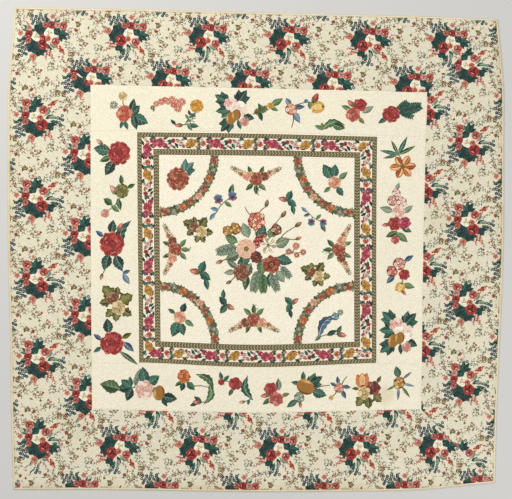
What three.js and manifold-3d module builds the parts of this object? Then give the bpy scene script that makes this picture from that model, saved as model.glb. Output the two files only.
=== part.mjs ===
// A chintz applique quilt of the early nineteenth century, lying face up.
// Millimetres, +Z up, +X to the quilt's right edge and +Y to its top edge as seen from above.
// The origin is under the middle of the quilt, on the surface that it lies on.
//
// The quilt is one quilted body with a narrow binding round its edge. On it are sewn a square frame of
// striped chintz, four quarter-round garlands, a bouquet and sprays of flowers cut from printed cloth.
// Places are given on the cloth as it was cut, square and flat, and cloth() moves them to where
// years of use have pulled them.

import * as THREE from "three";
import { mergeVertices } from "three/addons/utils/BufferGeometryUtils.js";
import Module from "manifold-3d";

const wasm = await Module();
wasm.setup();

// Driving sizes
const EDGE = { u: 1372, v: 1344 }; // half the cut quilt
const SEAM = { u: 935, v: 904 }; // half the plain square inside the chintz border
const FRAME = { u: 669, v: 641 }; // half the striped frame, over its outer edge
const FRAME_WIDTH = 122;
const BINDING_WIDTH = 10;
const BINDING_HEIGHT = 5.4;
const BODY_THICKNESS = 5;
const CLOTH_THICKNESS = 1;
const GAP = 0.3; // between two pieces sewn together
const GARLAND = { radius: 312, width: 58, scallop: 5, stations: 15 };
const CELL = 150; // longest step of the body's top surface

// Where use has pulled the four edges, at seven stations along each
const EDGES = {
  left: [-1348, -1385, -1387, -1386, -1371, -1369, -1357], // x, from top to bottom
  right: [1354, 1387, 1388, 1385, 1359, 1348, 1337], // x, from top to bottom
  top: [1356, 1347, 1344, 1327, 1311, 1305, 1289], // y, from left to right
  bottom: [-1343, -1343, -1346, -1355, -1351, -1343, -1303], // y, from left to right
};
// Where the corners and the middles of the two inner squares lie now, as [x, y]
const SQUARES = {
  seam: {
    topLeft: [-926, 922],
    top: [0, 903],
    topRight: [958, 881],
    right: [937, 0],
    bottomRight: [926, -895],
    bottom: [0, -913],
    bottomLeft: [-918, -895],
    left: [-924, 0],
  },
  frame: {
    topLeft: [-664, 656],
    top: [0, 648],
    topRight: [678, 631],
    right: [673, 0],
    bottomRight: [673, -634],
    bottom: [0, -657],
    bottomLeft: [-653, -631],
    left: [-659, 0],
  },
};

const STATIONS_U = [-EDGE.u, -SEAM.u, -FRAME.u, 0, FRAME.u, SEAM.u, EDGE.u];
const STATIONS_V = [-EDGE.v, -SEAM.v, -FRAME.v, 0, FRAME.v, SEAM.v, EDGE.v];
const LAST = STATIONS_U.length - 1;
const MIDDLE = LAST / 2;

// The smooth curve through values at the stations, with slopes from the neighbours.
function curve(stations, values, t) {
  let i = 0;
  while (i < stations.length - 2 && t > stations[i + 1]) i++;
  const slope = (k) => {
    const a = Math.max(k - 1, 0);
    const b = Math.min(k + 1, stations.length - 1);
    return (values[b] - values[a]) / (stations[b] - stations[a]);
  };
  const span = stations[i + 1] - stations[i];
  const s = (t - stations[i]) / span;
  const s2 = s * s;
  const s3 = s2 * s;
  return (
    (2 * s3 - 3 * s2 + 1) * values[i] +
    (s3 - 2 * s2 + s) * span * slope(i) +
    (3 * s2 - 2 * s3) * values[i + 1] +
    (s3 - s2) * span * slope(i + 1)
  );
}

// Where a crossing of the stations lies now. A crossing on an inner square lies between that
// square's corner and the middle of its side.
function crossing(i, j) {
  const across = i - MIDDLE;
  const up = j - MIDDLE;
  const ring = Math.max(Math.abs(across), Math.abs(up));
  if (ring === 0) return [0, 0];
  if (ring === MIDDLE) {
    const x = i === 0 ? EDGES.left[LAST - j] : i === LAST ? EDGES.right[LAST - j] : STATIONS_U[i];
    const y = j === 0 ? EDGES.bottom[i] : j === LAST ? EDGES.top[i] : STATIONS_V[j];
    return [x, y];
  }
  const square = ring === 2 ? SQUARES.seam : SQUARES.frame;
  const side = Math.abs(up) === ring ? (up > 0 ? "top" : "bottom") : across > 0 ? "right" : "left";
  const along = side === "top" || side === "bottom" ? across : up;
  const stations = side === "top" || side === "bottom" ? STATIONS_U : STATIONS_V;
  const share = Math.abs(stations[MIDDLE + along] / stations[MIDDLE + ring]);
  const corner =
    side === "top" || side === "bottom"
      ? side + (along < 0 ? "Left" : "Right")
      : (along < 0 ? "bottom" : "top") + (side === "left" ? "Left" : "Right");
  const [a, b] = [square[side], square[corner]];
  return [a[0] + (b[0] - a[0]) * share, a[1] + (b[1] - a[1]) * share];
}

const CROSSINGS = STATIONS_U.map((_, i) => STATIONS_V.map((_, j) => crossing(i, j)));

// The point of the quilt as it lies now, for a point of the cut cloth.
function cloth(u, v) {
  return [0, 1].map((k) => {
    const columns = CROSSINGS.map((column) => curve(STATIONS_V, column.map((p) => p[k]), v));
    return curve(STATIONS_U, columns, u);
  });
}

// Low waves of the lying quilt, as wave lengths and a height in millimetres
const WAVES = [
  { across: 1480, along: 1150, phase: 0.6, height: 0.9 },
  { across: 640, along: -910, phase: 2.1, height: 0.7 },
  { across: -430, along: 520, phase: 4.0, height: 0.4 },
];
const BORDER_WAVE = { length: 395, height: 1.5, reach: 330 }; // the looser chintz border

function topHeight(u, v) {
  let z = BODY_THICKNESS;
  for (const w of WAVES) {
    const turn = 2 * Math.PI * (u / w.across + v / w.along) + w.phase;
    z += w.height * (1 + Math.sin(turn)) * 0.5;
  }
  const toEdge = Math.min(EDGE.u - Math.abs(u), EDGE.v - Math.abs(v));
  const loose = Math.max(0, 1 - toEdge / BORDER_WAVE.reach);
  const round = Math.atan2(v, u) * ((EDGE.u + EDGE.v) / 2);
  z += BORDER_WAVE.height * loose * (1 + Math.sin((2 * Math.PI * round) / BORDER_WAVE.length)) * 0.5;
  const hem = Math.min(1, toEdge / (4 * BINDING_WIDTH)); // the body thins towards its binding
  return BODY_THICKNESS * 0.84 + (z - BODY_THICKNESS * 0.84) * hem;
}

function geometryOf(vertices, faces) {
  const geometry = new THREE.BufferGeometry();
  geometry.setAttribute("position", new THREE.Float32BufferAttribute(vertices.flat(), 3));
  geometry.setIndex(faces.flat());
  return geometry;
}

function solidOf(geometry) {
  const bare = geometry.clone();
  bare.deleteAttribute("normal");
  bare.deleteAttribute("uv");
  const merged = mergeVertices(bare, 1e-3);
  return new wasm.Manifold(
    new wasm.Mesh({
      numProp: 3,
      vertProperties: new Float32Array(merged.attributes.position.array),
      triVerts: new Uint32Array(merged.index.array),
    })
  );
}

function meshOf(name, solid, colour) {
  const { vertProperties, triVerts } = solid.getMesh();
  const geometry = new THREE.BufferGeometry();
  geometry.setAttribute("position", new THREE.BufferAttribute(new Float32Array(vertProperties), 3));
  geometry.setIndex(new THREE.BufferAttribute(new Uint32Array(triVerts), 1));
  geometry.computeVertexNormals();
  const material = new THREE.MeshStandardMaterial({ color: colour, roughness: 0.9, metalness: 0 });
  const mesh = new THREE.Mesh(geometry, material);
  mesh.name = name;
  return mesh;
}

// Every station and the even steps between them
function steps(stations) {
  const found = [];
  for (let i = 0; i < stations.length - 1; i++) {
    const span = stations[i + 1] - stations[i];
    const count = Math.ceil(span / CELL);
    for (let k = 0; k < count; k++) found.push(stations[i] + (span * k) / count);
  }
  found.push(stations[stations.length - 1]);
  return found;
}

// A layer that follows the quilt's top, from low to high above it; low is a depth below zero
// height where deep is true.
function layer(low, high, deep = false) {
  const us = steps(STATIONS_U);
  const vs = steps(STATIONS_V);
  const vertices = [];
  const faces = [];
  const at = (i, j, top) => (i * vs.length + j) * 2 + (top ? 1 : 0);
  us.forEach((u) =>
    vs.forEach((v) => {
      const [x, y] = cloth(u, v);
      const z = topHeight(u, v);
      vertices.push([x, y, deep ? low : z + low], [x, y, z + high]);
    })
  );
  const quad = (a, b, c, d) => faces.push([a, b, c], [a, c, d]);
  for (let i = 0; i < us.length - 1; i++)
    for (let j = 0; j < vs.length - 1; j++) {
      quad(at(i, j, true), at(i + 1, j, true), at(i + 1, j + 1, true), at(i, j + 1, true));
      quad(at(i, j, false), at(i, j + 1, false), at(i + 1, j + 1, false), at(i + 1, j, false));
    }
  const wall = (i, j, m, n) => quad(at(i, j, false), at(m, n, false), at(m, n, true), at(i, j, true));
  for (let i = 0; i < us.length - 1; i++) {
    wall(i, 0, i + 1, 0);
    wall(i + 1, vs.length - 1, i, vs.length - 1);
  }
  for (let j = 0; j < vs.length - 1; j++) {
    wall(0, j + 1, 0, j);
    wall(us.length - 1, j, us.length - 1, j + 1);
  }
  return solidOf(geometryOf(vertices, faces));
}

// An upright block over an outline that is given on the cut cloth.
function block(outline, low = -40, high = 60) {
  const shape = new THREE.Shape(outline.map(([u, v]) => new THREE.Vector2(...cloth(u, v))));
  const geometry = new THREE.ExtrudeGeometry(shape, { depth: high - low, bevelEnabled: false });
  geometry.translate(0, 0, low);
  return solidOf(geometry);
}

function body() {
  const inset = BINDING_WIDTH + GAP;
  const low = [-EDGE.u + inset, -EDGE.v + inset];
  const us = steps(STATIONS_U).map((u) => THREE.MathUtils.clamp(u, low[0], -low[0]));
  const vs = steps(STATIONS_V).map((v) => THREE.MathUtils.clamp(v, low[1], -low[1]));
  const outline = [
    ...us.map((u) => [u, low[1]]),
    ...vs.slice(1).map((v) => [-low[0], v]),
    ...us.slice(0, -1).reverse().map((u) => [u, -low[1]]),
    ...vs.slice(1, -1).reverse().map((v) => [low[0], v]),
  ];
  return meshOf("quilt_body", layer(-20, 0, true).intersect(block(outline, 0)), 0xece0c4);
}

// One side's binding: a folded tape round the edge, mitred at both ends. Its section is given as
// distances in from the edge and heights.
const BINDING_SECTION = [
  [0, 0],
  [BINDING_WIDTH, 0],
  [BINDING_WIDTH, BINDING_HEIGHT * 0.85],
  [BINDING_WIDTH * 0.55, BINDING_HEIGHT],
  [BINDING_WIDTH * 0.12, BINDING_HEIGHT * 0.72],
];

function binding(side) {
  const level = side === "top" || side === "bottom";
  const sign = side === "top" || side === "right" ? 1 : -1;
  const [length, reach] = level ? [EDGE.u, EDGE.v] : [EDGE.v, EDGE.u];
  const inner = steps(level ? STATIONS_U : STATIONS_V).slice(1, -1);
  const places = [-length, ...inner, length];
  const count = BINDING_SECTION.length;
  const vertices = [];
  const faces = [];
  for (const place of places)
    for (const [inwards, z] of BINDING_SECTION) {
      const mitre = length - inwards - GAP / 2;
      const along = THREE.MathUtils.clamp(place, -mitre, mitre);
      const across = sign * (reach - inwards);
      const [x, y] = level ? cloth(along, across) : cloth(across, along);
      vertices.push([x, y, z]);
    }
  const flip = level ? sign < 0 : sign > 0; // keeps the faces pointing out on all four sides
  const face = (a, b, c) => faces.push(flip ? [a, c, b] : [a, b, c]);
  for (let i = 0; i < places.length - 1; i++)
    for (let k = 0; k < count; k++) {
      const next = (k + 1) % count;
      const [a, b] = [i * count + k, i * count + next];
      face(a, b + count, b);
      face(a, a + count, b + count);
    }
  const end = (places.length - 1) * count;
  for (let k = 1; k < count - 1; k++) {
    face(0, k, k + 1);
    face(end, end + k + 1, end + k);
  }
  return meshOf("binding_" + side, solidOf(geometryOf(vertices, faces)), 0xe8dfc2);
}

const SEWN_ON = layer(GAP, GAP + CLOTH_THICKNESS);

// A piece of cloth sewn on, whose outline is one or more outlines on the cut cloth that overlap.
function sewnOn(name, outlines, colour) {
  const blocks = outlines.map((outline) => block(outline));
  return meshOf(name, SEWN_ON.intersect(wasm.Manifold.union(blocks)), colour);
}

// One side of the frame, mitred at both ends
function frameStrip(side) {
  const level = side === "top" || side === "bottom";
  const sign = side === "top" || side === "right" ? 1 : -1;
  const [length, reach] = level ? [FRAME.u, FRAME.v] : [FRAME.v, FRAME.u];
  const parts = 8;
  const edge = (inwards) =>
    Array.from({ length: parts + 1 }, (_, i) => {
      const along = (length - inwards - GAP) * ((2 * i) / parts - 1);
      const across = sign * (reach - inwards);
      return level ? [along, across] : [across, along];
    });
  return sewnOn("frame_" + side, [[...edge(0), ...edge(FRAME_WIDTH).reverse()]], 0x9c8f63);
}

// A quarter-round garland in one corner of the field inside the frame
function garland(name, signU, signV) {
  const gap = 2;
  const corner = [FRAME.u - FRAME_WIDTH - gap, FRAME.v - FRAME_WIDTH - gap];
  const edge = (radius, bulge) =>
    Array.from({ length: GARLAND.stations }, (_, i) => {
      const angle = ((Math.PI / 2) * i) / (GARLAND.stations - 1);
      const r = radius + (i % 2 ? bulge : -bulge);
      return [signU * (corner[0] - r * Math.cos(angle)), signV * (corner[1] - r * Math.sin(angle))];
    });
  const [inner, outer] = [-0.5, 0.5].map((k) => GARLAND.radius + k * GARLAND.width);
  const outline = [...edge(outer, GARLAND.scallop), ...edge(inner, -GARLAND.scallop).reverse()];
  return sewnOn(name, [outline], 0x8f8c66);
}

// Outlines of flowers and leaves, with their size, about their own place. A flower is placed by its
// middle, a leaf, bud or stem by its foot, and a turn of 0 points to the right.
const lobed = (points, depth, flat = 1) => (size) =>
  Array.from({ length: points }, (_, i) => {
    const angle = (2 * Math.PI * i) / points;
    const r = size * (i % 2 ? 1 - depth : 1);
    return [r * Math.cos(angle), r * flat * Math.sin(angle)];
  });
const pointed = (halfWidth, bow = 0) => (size) => {
  const side = [0.32, 0.7].map((t) => [t, halfWidth * Math.sin(Math.PI * t ** 0.8)]);
  const right = side.map(([t, w]) => [t, bow * Math.sin(Math.PI * t) - w]);
  const left = side.map(([t, w]) => [t, bow * Math.sin(Math.PI * t) + w]).reverse();
  return [[-0.04, -0.03], ...right, [1, 0], ...left, [-0.04, 0.03]].map(([x, y]) => [x * size, y * size]);
};
const OUTLINES = {
  rose: lobed(10, 0.1),
  peony: lobed(12, 0.12),
  mum: lobed(10, 0.14),
  cluster: lobed(10, 0.14),
  floret: lobed(8, 0.1),
  fruit: lobed(8, 0, 0.72),
  lily: lobed(12, 0.34),
  tulip: (size) =>
    [
      [-0.75, 0],
      [-0.45, -0.72],
      [0.35, -0.8],
      [1, -0.62],
      [0.72, 0],
      [1, 0.62],
      [0.35, 0.8],
      [-0.45, 0.72],
    ].map(([x, y]) => [x * size, y * size]),
  bud: (size) =>
    [
      [-0.1, -0.12],
      [0.45, -0.52],
      [1.25, -0.46],
      [2, 0],
      [1.25, 0.46],
      [0.45, 0.52],
      [-0.1, 0.12],
    ].map(([x, y]) => [x * size, y * size]),
  leaf: pointed(0.25),
  blade: pointed(0.12),
  broad: pointed(0.34),
  fern: pointed(0.2, 0.05),
  curl: pointed(0.17, 0.22),
  palm: (size) =>
    [
      [0, -0.08],
      [0.3, -0.42],
      [0.62, -0.5],
      [0.58, -0.2],
      [1, -0.14],
      [0.86, 0],
      [1, 0.14],
      [0.58, 0.2],
      [0.62, 0.5],
      [0.3, 0.42],
      [0, 0.08],
    ].map(([x, y]) => [x * size, y * size]),
  stem: (size) => {
    const half = 3.2;
    const bow = 0.09 * size;
    return [
      [0, -half],
      [size / 2, bow - half],
      [size, -half],
      [size, half],
      [size / 2, bow + half],
      [0, half],
    ];
  },
};

const COLOURS = {
  red: 0xa83a36,
  rose: 0xc05a50,
  pink: 0xd79a86,
  coral: 0xc9624a,
  cream: 0xe3cfa2,
  gold: 0xcf9a3c,
  ochre: 0xb5812f,
  orange: 0xc9743a,
  brown: 0x8a5a3c,
  olive: 0x7f8244,
  green: 0x4f7a54,
  teal: 0x2f5f58,
  blue: 0x5f7fa0,
  lilac: 0x9a7f92,
  grey: 0x8f9a86,
};

// The flowers and leaves of each kind of spray: what it is, across, up, size, turn in degrees, colour.
// Across and up are from the middle of the spray.
const SPRAYS = {
  rose_and_bud: [
    ["rose", -6, -24, 50, 10, "rose"],
    ["rose", -14, 74, 27, 0, "cream"],
    ["stem", -8, 18, 42, 96, "green"],
    ["floret", -66, 22, 27, 0, "grey"],
    ["stem", -46, 12, 30, -30, "grey"],
    ["broad", 38, -40, 102, -22, "teal"],
    ["broad", 34, -32, 74, 48, "teal"],
    ["leaf", 44, -34, 84, -74, "teal"],
    ["leaf", 34, -20, 84, 78, "teal"],
    ["leaf", -2, -66, 52, -70, "teal"],
    ["leaf", -12, -66, 46, -112, "teal"],
  ],
  lilac_arch: [
    ["floret", -90, -18, 18, 0, "olive"],
    ["cluster", -68, 4, 21, 0, "coral"],
    ["cluster", -38, 18, 24, 20, "coral"],
    ["cluster", -4, 22, 27, 0, "coral"],
    ["cluster", 34, 20, 29, 10, "coral"],
    ["cluster", 72, 12, 30, 0, "coral"],
    ["cluster", 50, -22, 29, 30, "coral"],
  ],
  gold_and_bud: [
    ["mum", 52, 46, 40, 0, "gold"],
    ["fern", -16, -64, 104, 54, "teal"],
    ["bud", -28, -64, 22, 184, "rose"],
    ["stem", -36, -66, 50, 4, "green"],
    ["leaf", -66, -62, 42, 136, "teal"],
    ["leaf", 8, -64, 58, -6, "teal"],
    ["leaf", 0, -60, 44, -52, "green"],
  ],
  peony_and_fruit: [
    ["peony", -16, 44, 44, 0, "pink"],
    ["peony", 26, 2, 56, 8, "cream"],
    ["fruit", -20, -42, 44, 24, "ochre"],
    ["palm", -40, 66, 82, 138, "teal"],
    ["palm", 34, 50, 90, 44, "teal"],
    ["palm", -22, 12, 96, 178, "teal"],
    ["palm", -44, -62, 86, 216, "teal"],
    ["broad", 40, -44, 72, -24, "teal"],
    ["rose", 42, -82, 30, 0, "pink"],
    ["leaf", 6, -64, 60, -86, "teal"],
  ],
  gold_tail: [
    ["fern", -86, -36, 96, 26, "olive"],
    ["rose", 10, 14, 19, 0, "gold"],
    ["leaf", 16, 16, 76, 34, "green"],
    ["leaf", 8, 8, 52, -26, "green"],
    ["leaf", -34, -16, 50, 118, "green"],
    ["leaf", -52, -24, 56, -72, "teal"],
  ],
  tulip_and_blue: [
    ["cluster", -74, -6, 38, 0, "pink"],
    ["leaf", -60, -18, 76, -62, "blue"],
    ["leaf", -56, 4, 60, 8, "blue"],
    ["broad", -78, 16, 50, 118, "blue"],
    ["stem", -62, -34, 78, -96, "brown"],
    ["stem", -56, 16, 128, 10, "green"],
    ["tulip", 78, 12, 42, 188, "cream"],
    ["bud", 46, 34, 32, 66, "red"],
    ["floret", 8, 44, 12, 0, "blue"],
    ["leaf", 26, 42, 48, -84, "green"],
  ],
  leaf_pair: [
    ["curl", -48, -34, 134, 12, "green"],
    ["broad", 10, -2, 74, -16, "green"],
    ["leaf", -40, -30, 52, 158, "green"],
    ["leaf", -44, -30, 40, 96, "olive"],
  ],
  double_rose: [
    ["rose", 14, 22, 40, 0, "red"],
    ["rose", -22, -34, 44, 14, "rose"],
    ["bud", -18, 12, 26, 134, "rose"],
    ["leaf", -34, -6, 58, 158, "green"],
    ["leaf", 30, -22, 70, 34, "grey"],
    ["leaf", 8, -50, 50, -46, "olive"],
  ],
  carnation: [
    ["tulip", -54, -10, 54, 140, "red"],
    ["leaf", -70, -30, 58, 214, "teal"],
    ["fern", -30, 4, 158, 16, "teal"],
    ["fern", -24, 6, 96, 46, "teal"],
    ["fern", -4, 4, 88, -18, "teal"],
  ],
  day_lily: [
    ["lily", 26, -42, 72, 6, "orange"],
    ["stem", -4, 32, 46, -58, "green"],
    ["blade", 0, 30, 102, 170, "green"],
    ["blade", 0, 30, 88, 116, "green"],
    ["blade", 2, 30, 112, 66, "green"],
    ["blade", 4, 28, 104, 30, "green"],
    ["blade", -2, 26, 84, 196, "green"],
  ],
  tall_spray: [
    ["cluster", -8, 134, 28, 0, "lilac"],
    ["cluster", -30, 88, 32, 12, "lilac"],
    ["cluster", 22, 84, 34, 0, "lilac"],
    ["rose", 6, 30, 38, 0, "pink"],
    ["rose", -14, -40, 42, 10, "rose"],
    ["rose", 40, -36, 38, 0, "rose"],
    ["rose", -10, -132, 26, 0, "rose"],
    ["stem", -6, -60, 60, -94, "green"],
    ["leaf", -24, 30, 78, 164, "grey"],
    ["leaf", 34, 22, 66, 40, "rose"],
    ["bud", -48, -44, 20, 190, "rose"],
    ["leaf", -2, -86, 70, 206, "green"],
    ["leaf", -4, -92, 84, -40, "green"],
    ["leaf", 24, -62, 64, -24, "teal"],
    ["leaf", -8, 150, 48, 72, "grey"],
  ],
  ribbon_flowers: [
    ["cluster", -4, 76, 42, 0, "pink"],
    ["cluster", -44, 34, 36, 18, "rose"],
    ["rose", 26, 16, 34, 0, "red"],
    ["tulip", 6, -52, 34, 250, "gold"],
    ["stem", 16, -4, 44, -96, "green"],
    ["leaf", -30, 12, 66, 226, "teal"],
    ["leaf", 18, -40, 72, -14, "green"],
    ["leaf", 28, 92, 60, 34, "grey"],
    ["bud", 16, -76, 16, -52, "rose"],
  ],
  olive_rose: [
    ["rose", -16, 24, 38, 0, "brown"],
    ["rose", 14, -26, 42, 12, "cream"],
    ["palm", -18, 38, 84, 132, "olive"],
    ["palm", -30, 10, 64, 188, "olive"],
    ["palm", 20, 6, 88, 28, "olive"],
    ["palm", 34, -38, 66, -32, "olive"],
    ["palm", 4, -48, 60, -96, "olive"],
    ["palm", -14, -38, 60, 222, "olive"],
    ["palm", 2, 42, 54, 78, "olive"],
  ],
  olive_bud: [
    ["peony", 34, 40, 42, 0, "ochre"],
    ["bud", 2, 22, 30, 124, "rose"],
    ["stem", 34, 18, 128, 226, "green"],
    ["leaf", 34, 74, 56, 96, "green"],
    ["leaf", 66, 56, 50, 26, "green"],
    ["leaf", 10, -2, 66, -76, "green"],
    ["broad", -22, -34, 60, 146, "green"],
    ["leaf", -26, -40, 58, -38, "green"],
    ["rose", -62, -82, 26, 0, "pink"],
  ],
  peony: [
    ["peony", 24, 6, 68, 0, "red"],
    ["broad", -26, 16, 98, 168, "teal"],
    ["broad", -8, -36, 92, 238, "teal"],
    ["leaf", -24, -12, 70, 202, "green"],
    ["stem", -30, 34, 60, 152, "green"],
    ["bud", -72, 56, 22, 142, "rose"],
  ],
  peony_tall: [
    ["peony", -18, 24, 72, 0, "red"],
    ["broad", -22, 82, 78, 80, "teal"],
    ["bud", 16, 98, 26, 58, "rose"],
    ["stem", 8, 76, 38, 62, "green"],
    ["curl", 40, 4, 162, 70, "blue"],
    ["leaf", -66, 66, 54, 142, "grey"],
    ["broad", -34, -34, 92, 250, "teal"],
    ["broad", 2, -38, 96, -68, "teal"],
    ["stem", 8, -60, 104, -66, "green"],
    ["leaf", 44, -144, 68, -58, "blue"],
    ["leaf", 44, -140, 46, 24, "blue"],
    ["stem", -46, -70, 84, 250, "green"],
    ["bud", -72, -142, 18, 252, "rose"],
  ],
  peony_stalk: [
    ["peony", -12, -2, 70, 6, "red"],
    ["broad", -30, 56, 86, 96, "teal"],
    ["leaf", -70, 18, 56, 142, "grey"],
    ["leaf", -72, -22, 52, 214, "teal"],
    ["blade", 30, -50, 128, -36, "green"],
    ["leaf", 44, 26, 62, 28, "olive"],
    ["leaf", 52, 2, 78, -42, "blue"],
  ],
  fern_and_bud: [
    ["peony", -82, 66, 40, 0, "orange"],
    ["broad", -64, 34, 62, -44, "teal"],
    ["broad", -82, 32, 52, 252, "teal"],
    ["leaf", -96, 36, 46, 216, "olive"],
    ["stem", -42, 10, 104, 0, "olive"],
    ["curl", -8, 78, 130, -42, "green"],
    ["curl", 64, 30, 124, -106, "green"],
    ["stem", 38, -72, 40, 188, "olive"],
    ["bud", 16, -78, 24, 176, "rose"],
    ["leaf", 20, -74, 54, 146, "teal"],
    ["leaf", -4, -80, 46, 202, "teal"],
  ],
  rose_swag: [
    ["rose", 42, -22, 56, 8, "pink"],
    ["stem", -38, -12, 60, -6, "green"],
    ["broad", -34, -10, 82, 186, "teal"],
    ["broad", -34, -10, 72, 144, "teal"],
    ["broad", -30, -12, 78, 248, "teal"],
    ["leaf", -34, -8, 60, 98, "teal"],
    ["broad", -98, -18, 116, 166, "green"],
    ["fern", -14, -6, 110, 66, "grey"],
    ["broad", 44, 14, 92, 98, "teal"],
    ["broad", 58, 8, 86, 36, "teal"],
    ["fruit", 126, -36, 42, 78, "ochre"],
    ["leaf", 84, -30, 42, 40, "teal"],
    ["broad", 144, -56, 88, -6, "teal"],
    ["leaf", 142, -62, 58, -56, "teal"],
  ],
  fruit_swag: [
    ["fruit", -18, 20, 54, -36, "ochre"],
    ["palm", 4, 34, 84, 30, "teal"],
    ["leaf", -30, 52, 58, 92, "green"],
    ["leaf", -48, 40, 52, 168, "teal"],
    ["broad", 22, -8, 84, -18, "teal"],
    ["cluster", -52, -40, 34, 0, "grey"],
    ["leaf", -62, -54, 72, 214, "teal"],
    ["bud", -46, -66, 17, -84, "rose"],
    ["stem", 22, 0, 100, 14, "brown"],
  ],
  blue_sprig: [
    ["cluster", -32, 4, 28, 0, "blue"],
    ["cluster", 46, 22, 27, 14, "blue"],
    ["floret", 52, -16, 21, 0, "lilac"],
    ["stem", -54, -86, 140, 46, "green"],
    ["stem", -16, -34, 36, 110, "green"],
    ["leaf", 34, 22, 66, 74, "green"],
    ["leaf", -52, -76, 50, 232, "blue"],
    ["leaf", -32, -58, 48, 168, "blue"],
    ["leaf", 4, -14, 50, -34, "green"],
  ],
  bud_and_leaf: [
    ["bud", 2, 4, 27, 168, "rose"],
    ["broad", 0, 4, 60, 66, "teal"],
    ["broad", 0, 4, 62, -34, "teal"],
    ["leaf", 26, -22, 56, -78, "teal"],
    ["stem", -4, 4, 54, -36, "teal"],
  ],
  corner_rose: [
    ["rose", 10, -14, 38, 0, "coral"],
    ["broad", -4, 8, 94, 122, "teal"],
    ["broad", 6, 14, 76, 84, "teal"],
    ["leaf", 34, 4, 64, 42, "green"],
    ["broad", 24, -40, 60, -56, "teal"],
    ["leaf", -12, -40, 50, 220, "green"],
  ],
  corner_mum: [
    ["mum", -14, -12, 66, 0, "brown"],
    ["broad", 26, 28, 74, 28, "blue"],
    ["leaf", 22, 32, 70, 78, "blue"],
  ],
  blue_vine: [
    ["curl", -70, -66, 158, 46, "blue"],
    ["cluster", 20, 44, 24, 0, "blue"],
    ["floret", 48, 66, 20, 0, "grey"],
    ["stem", -68, -66, 108, 5, "green"],
    ["leaf", -26, -58, 62, 24, "teal"],
    ["bud", 30, -53, 27, -14, "rose"],
    ["leaf", 30, -52, 52, 62, "green"],
    ["leaf", -60, -56, 46, 226, "grey"],
  ],
  brown_tulip: [
    ["tulip", -26, 42, 46, 96, "orange"],
    ["rose", 36, 4, 44, 0, "brown"],
    ["rose", -14, -20, 38, 0, "cream"],
    ["palm", -18, -40, 66, 236, "olive"],
    ["palm", 10, -44, 66, -84, "olive"],
    ["palm", 44, -28, 62, -48, "olive"],
    ["leaf", 56, 32, 46, 62, "olive"],
    ["leaf", -44, 4, 40, 176, "olive"],
  ],
  coral_sprig: [
    ["cluster", -10, -4, 32, 0, "coral"],
    ["leaf", 6, -18, 54, -62, "blue"],
    ["leaf", 10, 4, 48, -10, "blue"],
    ["leaf", -14, 18, 46, 100, "blue"],
    ["leaf", -26, 8, 40, 150, "blue"],
    ["stem", 4, 12, 56, 58, "brown"],
    ["stem", -18, -14, 56, 232, "brown"],
    ["floret", -52, -58, 14, 0, "cream"],
  ],
  rose_and_sickle: [
    ["rose", -17, 33, 40, 0, "red"],
    ["rose", -97, 40, 20, 0, "red"],
    ["stem", -94, 44, 60, -4, "green"],
    ["leaf", -94, 50, 50, 102, "teal"],
    ["leaf", -84, 48, 46, 44, "teal"],
    ["leaf", -30, 4, 50, 240, "teal"],
    ["curl", 80, -56, 142, 100, "teal"],
    ["stem", 78, -48, 50, 206, "green"],
    ["bud", 38, -70, 18, 190, "pink"],
    ["leaf", 62, -56, 36, 258, "teal"],
  ],
  fern_mum: [
    ["mum", -4, -2, 42, 0, "gold"],
    ["broad", -8, 28, 66, 106, "teal"],
    ["blade", 16, 20, 66, 38, "green"],
    ["blade", 22, -8, 66, -12, "green"],
    ["blade", 12, -24, 78, -52, "green"],
    ["blade", -6, -30, 72, -92, "green"],
    ["blade", -24, -18, 58, 206, "green"],
  ],
  triangle: [
    ["rose", 0, -12, 36, 0, "brown"],
    ["rose", -46, 6, 26, 0, "coral"],
    ["rose", 46, 6, 26, 0, "coral"],
    ["leaf", 0, -40, 52, -90, "green"],
    ["leaf", -14, -34, 54, -138, "green"],
    ["leaf", 14, -34, 54, -42, "green"],
    ["fern", -62, 14, 92, 152, "coral"],
    ["fern", 62, 14, 92, 28, "coral"],
    ["leaf", -24, 16, 46, 112, "green"],
    ["leaf", 24, 16, 46, 68, "green"],
  ],
  bouquet: [
    ["cluster", -21, 152, 56, 0, "coral"],
    ["cluster", -140, 108, 38, 10, "ochre"],
    ["cluster", -182, 96, 34, 40, "ochre"],
    ["cluster", 90, 104, 36, 0, "brown"],
    ["fern", -34, -2, 112, 48, "red"],
    ["fern", -42, 14, 92, 54, "red"],
    ["peony", -78, -2, 54, 0, "pink"],
    ["lily", 46, 17, 54, 0, "cream"],
    ["rose", -22, -48, 35, 0, "brown"],
    ["rose", 63, -88, 52, 0, "coral"],
    ["mum", -106, -132, 48, 0, "brown"],
    ["floret", 160, -18, 21, 0, "coral"],
    ["floret", 200, 14, 23, 0, "coral"],
    ["floret", 240, -20, 20, 0, "coral"],
    ["floret", 204, -36, 18, 0, "coral"],
    ["stem", 80, -56, 148, 13, "olive"],
    ["stem", 180, -22, 44, 52, "olive"],
    ["stem", -18, 56, 66, 97, "olive"],
    ["broad", -66, 62, 86, 112, "grey"],
    ["broad", -10, 44, 92, 66, "teal"],
    ["broad", -128, 36, 76, 158, "green"],
    ["broad", -118, -26, 88, 206, "grey"],
    ["broad", 52, 54, 80, 66, "green"],
    ["broad", 84, 14, 92, 26, "grey"],
    ["broad", 96, -54, 88, -16, "teal"],
    ["broad", 92, -122, 78, -56, "grey"],
    ["broad", -52, -84, 92, 240, "grey"],
    ["broad", -56, -46, 84, 208, "teal"],
    ["broad", 16, -60, 92, 262, "green"],
    ["leaf", 62, -128, 84, -98, "teal"],
    ["leaf", -140, -126, 66, 188, "grey"],
    ["leaf", -74, -142, 88, 262, "green"],
    ["leaf", -128, -104, 70, 150, "grey"],
    ["leaf", -94, -90, 64, 96, "green"],
    ["fern", -8, -112, 138, 256, "grey"],
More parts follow.
